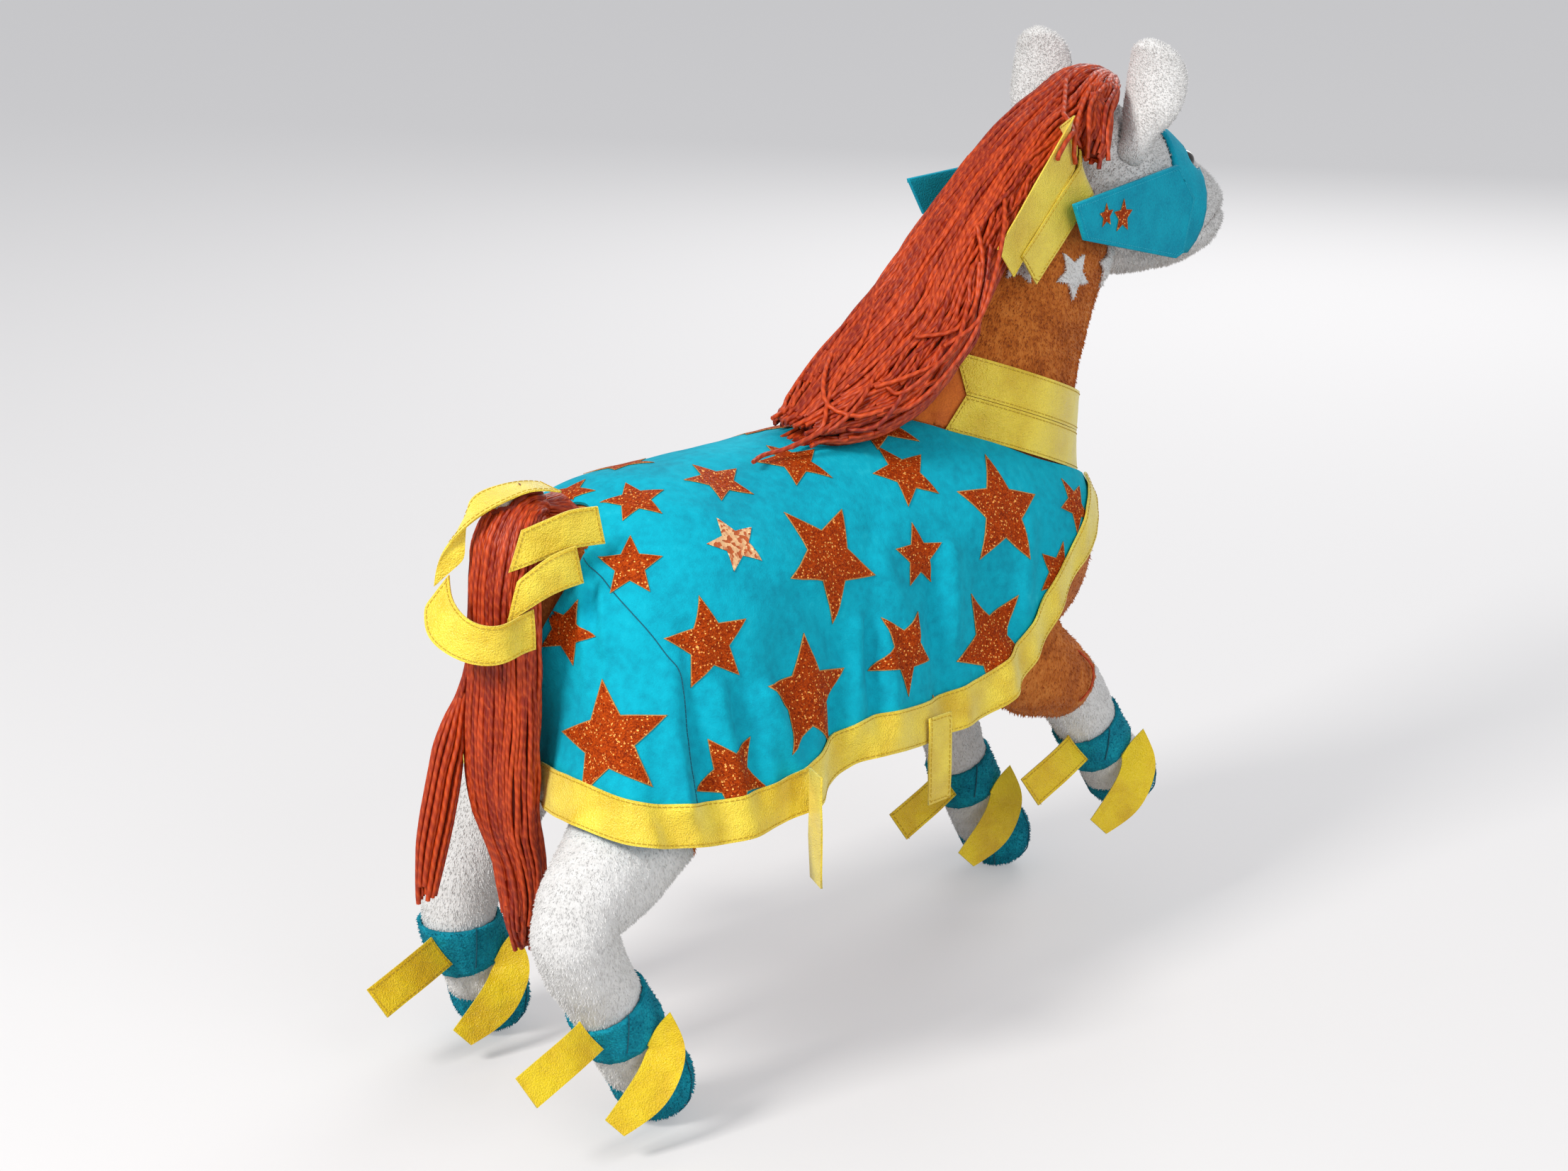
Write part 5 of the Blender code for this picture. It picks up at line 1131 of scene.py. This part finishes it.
# Mane: long strands of the same yarn, sewn along the crest from the brow to the withers.
# They lie over the right side of the neck, with a short forelock between the ears.
MANE_ROUTE = (
    (208, -2, 440), (197, -6, 441), (180, -8, 431), (160, -10, 420), (140, -11.5, 413),
    (118, -13, 400), (100, -14, 387), (84, -15, 372), (69, -16, 358), (56, -16, 342),
    (42, -16, 330), (26, -14.5, 319), (9, -14, 309), (-10, -12.5, 302), (-27, -10, 297),
)
mane_hank = Hank("mane", MANE_ROUTE, (0, -1, 0), 44)
MANE_STRANDS, BROW_STRANDS, MANE_STATIONS = 330, 130, 44
GOLDEN_SHARE = 0.618
CREST_TURN = 1.25
mane_paths = []
for k in range(MANE_STRANDS):
    turn = -1.35 + 2 * pi * ((k * GOLDEN_SHARE) % 1)
    start = 0.01 + (0.0 if k < BROW_STRANDS else chance.uniform(0.03, 0.50))
    end = chance.uniform(0.84, 1.035)
    crest = CREST_TURN + (turn - CREST_TURN) * 0.55
    sunk = chance.uniform(0.0, 0.0036)
    lean = chance.uniform(-0.35, 0.35)
    path = mane_hank.dome(crest, sunk, chance.uniform(0.2, 1.0)) if k < BROW_STRANDS else []
    for n in range(MANE_STATIONS):
        share = start + (end - start) * n / (MANE_STATIONS - 1)
        eased = min((share - start) / 0.5, 1)
        wave = 0.34 * noise.noise(Vector((k * 2.3, share * 4, 1)))
        wave += 0.10 * noise.noise(Vector((k * 0.7, share * 12, 4)))
        dip = 0.0022 * noise.noise(Vector((k * 1.3, share * 8, 3)))
        path.append(mane_hank.place(share, crest + (turn - crest) * eased + wave + lean * share, sunk + dip))
    mane_paths.append(path)
LOOSE = (
    ((42, 4.6, 355.3), (13.8, -13.4, 337.1), (-5.2, -17.1, 322.9), (-19.4, -20.2, 311.7),
     (-31, -27.3, 300.5), (-36, -20, 293), (-47.6, -22.5, 292)),
    ((71.7, -34, 385.4), (64, -44.5, 369.4), (52.4, -50, 350.6), (36.8, -50.5, 340.6), (20.5, -40, 338.1)),
    ((62.6, -44, 369.5), (50.4, -51, 346.4), (31, -53.5, 329.6), (7.5, -47.2, 321.8), (-6.2, -38, 317.3)),
    ((18.4, 8, 333.1), (-11.6, -9.8, 319.9), (-23, -22.8, 309.1), (-19.2, -37.7, 305.1), (-8.8, -46, 307.5)),
    ((71.8, -43, 377), (62.7, -48.4, 361.2), (54.5, -51.3, 346.9), (52, -52, 335), (40, -50, 322)),
    ((10, -30, 330), (-14, -36, 311), (-30, -30, 298), (-26, -16, 297), (-8, -8, 304)),
    ((30, -40, 340), (8, -47, 318), (-10, -45, 301), (-20, -34, 298), (-16, -22, 303)),
    ((96, -30, 402), (78, -46, 384), (58, -56, 360), (46, -57, 344), (28, -52, 334)),
    ((50, -48, 352), (34, -55, 336), (14, -53, 322), (2, -46, 314), (-2, -38, 320)),
    ((60, -52, 362), (44, -58, 340), (26, -56, 322), (8, -50, 308), (-6, -42, 304)),
    ((-8, -34, 316), (-28, -30, 301), (-52, -26, 293.5), (-68, -24, 292), (-78, -27, 291)),
)
mane_paths += [[at(*p) for p in smooth_path(path, 40)] for path in LOOSE]
mane_strands = yarn_strands("mane_strands", mane_paths, "horse", 0.00122, 4)
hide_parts("mane")
hank_core("mane_core", "mane", "horse", 0.0048)

LOCK = ((168, -28, 441), (165, -32, 432.4), (161, -36.5, 425), (155.7, -38.7, 417.3), (150, -41, 409))
fore_hank = Hank("forelock", LOCK, (1, 0, 0), 20)
FRINGE = (
    ((168.7, -8.3, 446.6), (147.8, -24.8, 436.5), (128, -40, 427), (114.9, -48.5, 415)),
    ((170.9, -23, 444.1), (150.8, -32.7, 433.4), (136, -42, 424), (130, -46.5, 411)),
    ((178.4, -26.2, 443.7), (157.7, -33.8, 436.4), (146, -42.5, 424), (143, -44.5, 412)),
    ((186, -27.2, 441.2), (165, -38, 434), (155, -44.5, 420), (150, -46.5, 406)),
    ((190, -25, 441), (172, -36, 434), (159, -44, 424), (155, -48.5, 410)),
)
fore_paths = [[at(*p) for p in smooth_path(path, 26)] for path in FRINGE]
for k in range(26):
    turn, end = 2 * pi * k / 26, chance.uniform(0.75, 1)
    fore_paths.append([fore_hank.place(0.01 + end * n / 18, turn + 0.6 * n / 18, 0.001) for n in range(19)])


def above(surfaces, place, clear=0.0025):
    """A place lifted clear of the sheets beside or over it, away from the neck's right side."""
    for surface in surfaces:
        spot, normal = surface.find_nearest(place)[:2]
        if normal.y > 0:
            normal = -normal
        high = (place - spot).dot(normal)
        aside = (place - spot - normal * high).length
        if aside < 0.006 and -0.008 < high < clear:
            place = place + normal * (clear - high) * min(1.5 - aside / 0.004, 1)
    return place


fore_paths = [[above(cheek_tops, place) for place in path] for path in fore_paths]
fore_strands = yarn_strands("forelock_strands", fore_paths, "horse", 0.0013, 5)
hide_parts("forelock")
hank_core("forelock_core", "forelock", "horse", 0.0022)

# Ankle ribbons: each band holds one strip that trails behind it and one that crosses the hoof.
for leg in LEGS:
    for lie, long in (("trailing", 0.050), ("crossing", 0.062)):
        cloth(leg + "_satin_" + lie, leg + "_ribbon_" + lie, ankle_satin,
              [leg + "_ankle_band"], move=ripple(0.018, 0.0004))

# Seams: dark thread in the groove of the mouth, lines over the sides of each hoof and one on each band.
# The thread lies in the pile, so that only a thin line shows. One loose end hangs at the raised foreleg.
def seam(node, bearing, start, stop, count=24):
    """Places on a form along one line of longitude, between two angles from straight up."""
    surface = surface_of(node)
    body = gather(node)
    middle = sum((v.co for v in body.verts), Vector()) / len(body.verts)
    body.free()
    row = []
    for k in range(count):
        lean = start + (stop - start) * k / (count - 1)
        out = Vector((sin(lean) * cos(bearing), sin(lean) * sin(bearing), cos(lean)))
        spot = surface.ray_cast(middle + out * 0.08, -out, 0.08)[0]
        if spot:
            row.append(spot + out * 0.0006)
    return row


mouth_thread = plain("mouth_thread", 0.8, 0.002, (0.20, 0.17, 0.16), (0.32, 0.28, 0.27))
hoof_rows = []
for leg in LEGS:
    for bearing in (-2.5, -1.2, 1.2, 2.5):
        hoof_rows.append(seam(leg + "_hoof", bearing, 0.7, 2.3))
    hoof_rows.append(seam(leg + "_band", -2.0, 1.1, 2.1))
mouth_line = MOUTH + [Vector((p.x, -p.y, p.z)) for p in MOUTH[-2::-1]]
mouth_rows = [[on(head_top, p, None, -0.0018) for p in smooth_path(mouth_line, 60)]]
sew("mouth_seam", mouth_rows, mouth_thread, "white_plush", every=0.0022, long=0.0022, thick=0.0004)
sew("hoof_seams", hoof_rows, blue_thread, "teal_felt", every=0.0019, long=0.0018, thick=0.00035)

LEG_THREAD = (
    (118, -62, 164), (121, -68, 160), (125.5, -71.5, 152), (122.5, -73.0, 143), (117, -70.5, 136),
)
yarn_strands("leg_thread", [[at(*p) for p in smooth_path(LEG_THREAD, 30)]], "horse", 0.0006, 6)

# Neck stars: white plush stars and star points sewn on each side of the throat and under the jaw.
NECK_STARS = (
    ((136.5, -41.8, 353.3), (-0.04, -0.99, 0.12), 12.5, 117), ((172.5, -32, 353), (0.3, -0.94, 0.1), 13, 98),
    ((106, -32.5, 362), (-0.3, -0.94, 0.1), 11, 75),
)
neck_top = surface_of("neck")
for side, rows in (("right", list(NECK_STARS)), ("left", mirrored(NECK_STARS))):
    patch = stars("throat_stars_" + side, rows, neck_top, white_plush, thick=0.0016,
                  lift=0.0019)
    grow(patch, pile_tree, tufts=float(TUFTS["star"]), length=0.0014, nap=NAP["star"], material=white_plush)
    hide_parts("neck_star_" + side)

for body_name, rows in sewn_rows.items():
    sew("ribbon_stitches_" + body_name, rows, gold_thread, "yellow_satin", body_name)
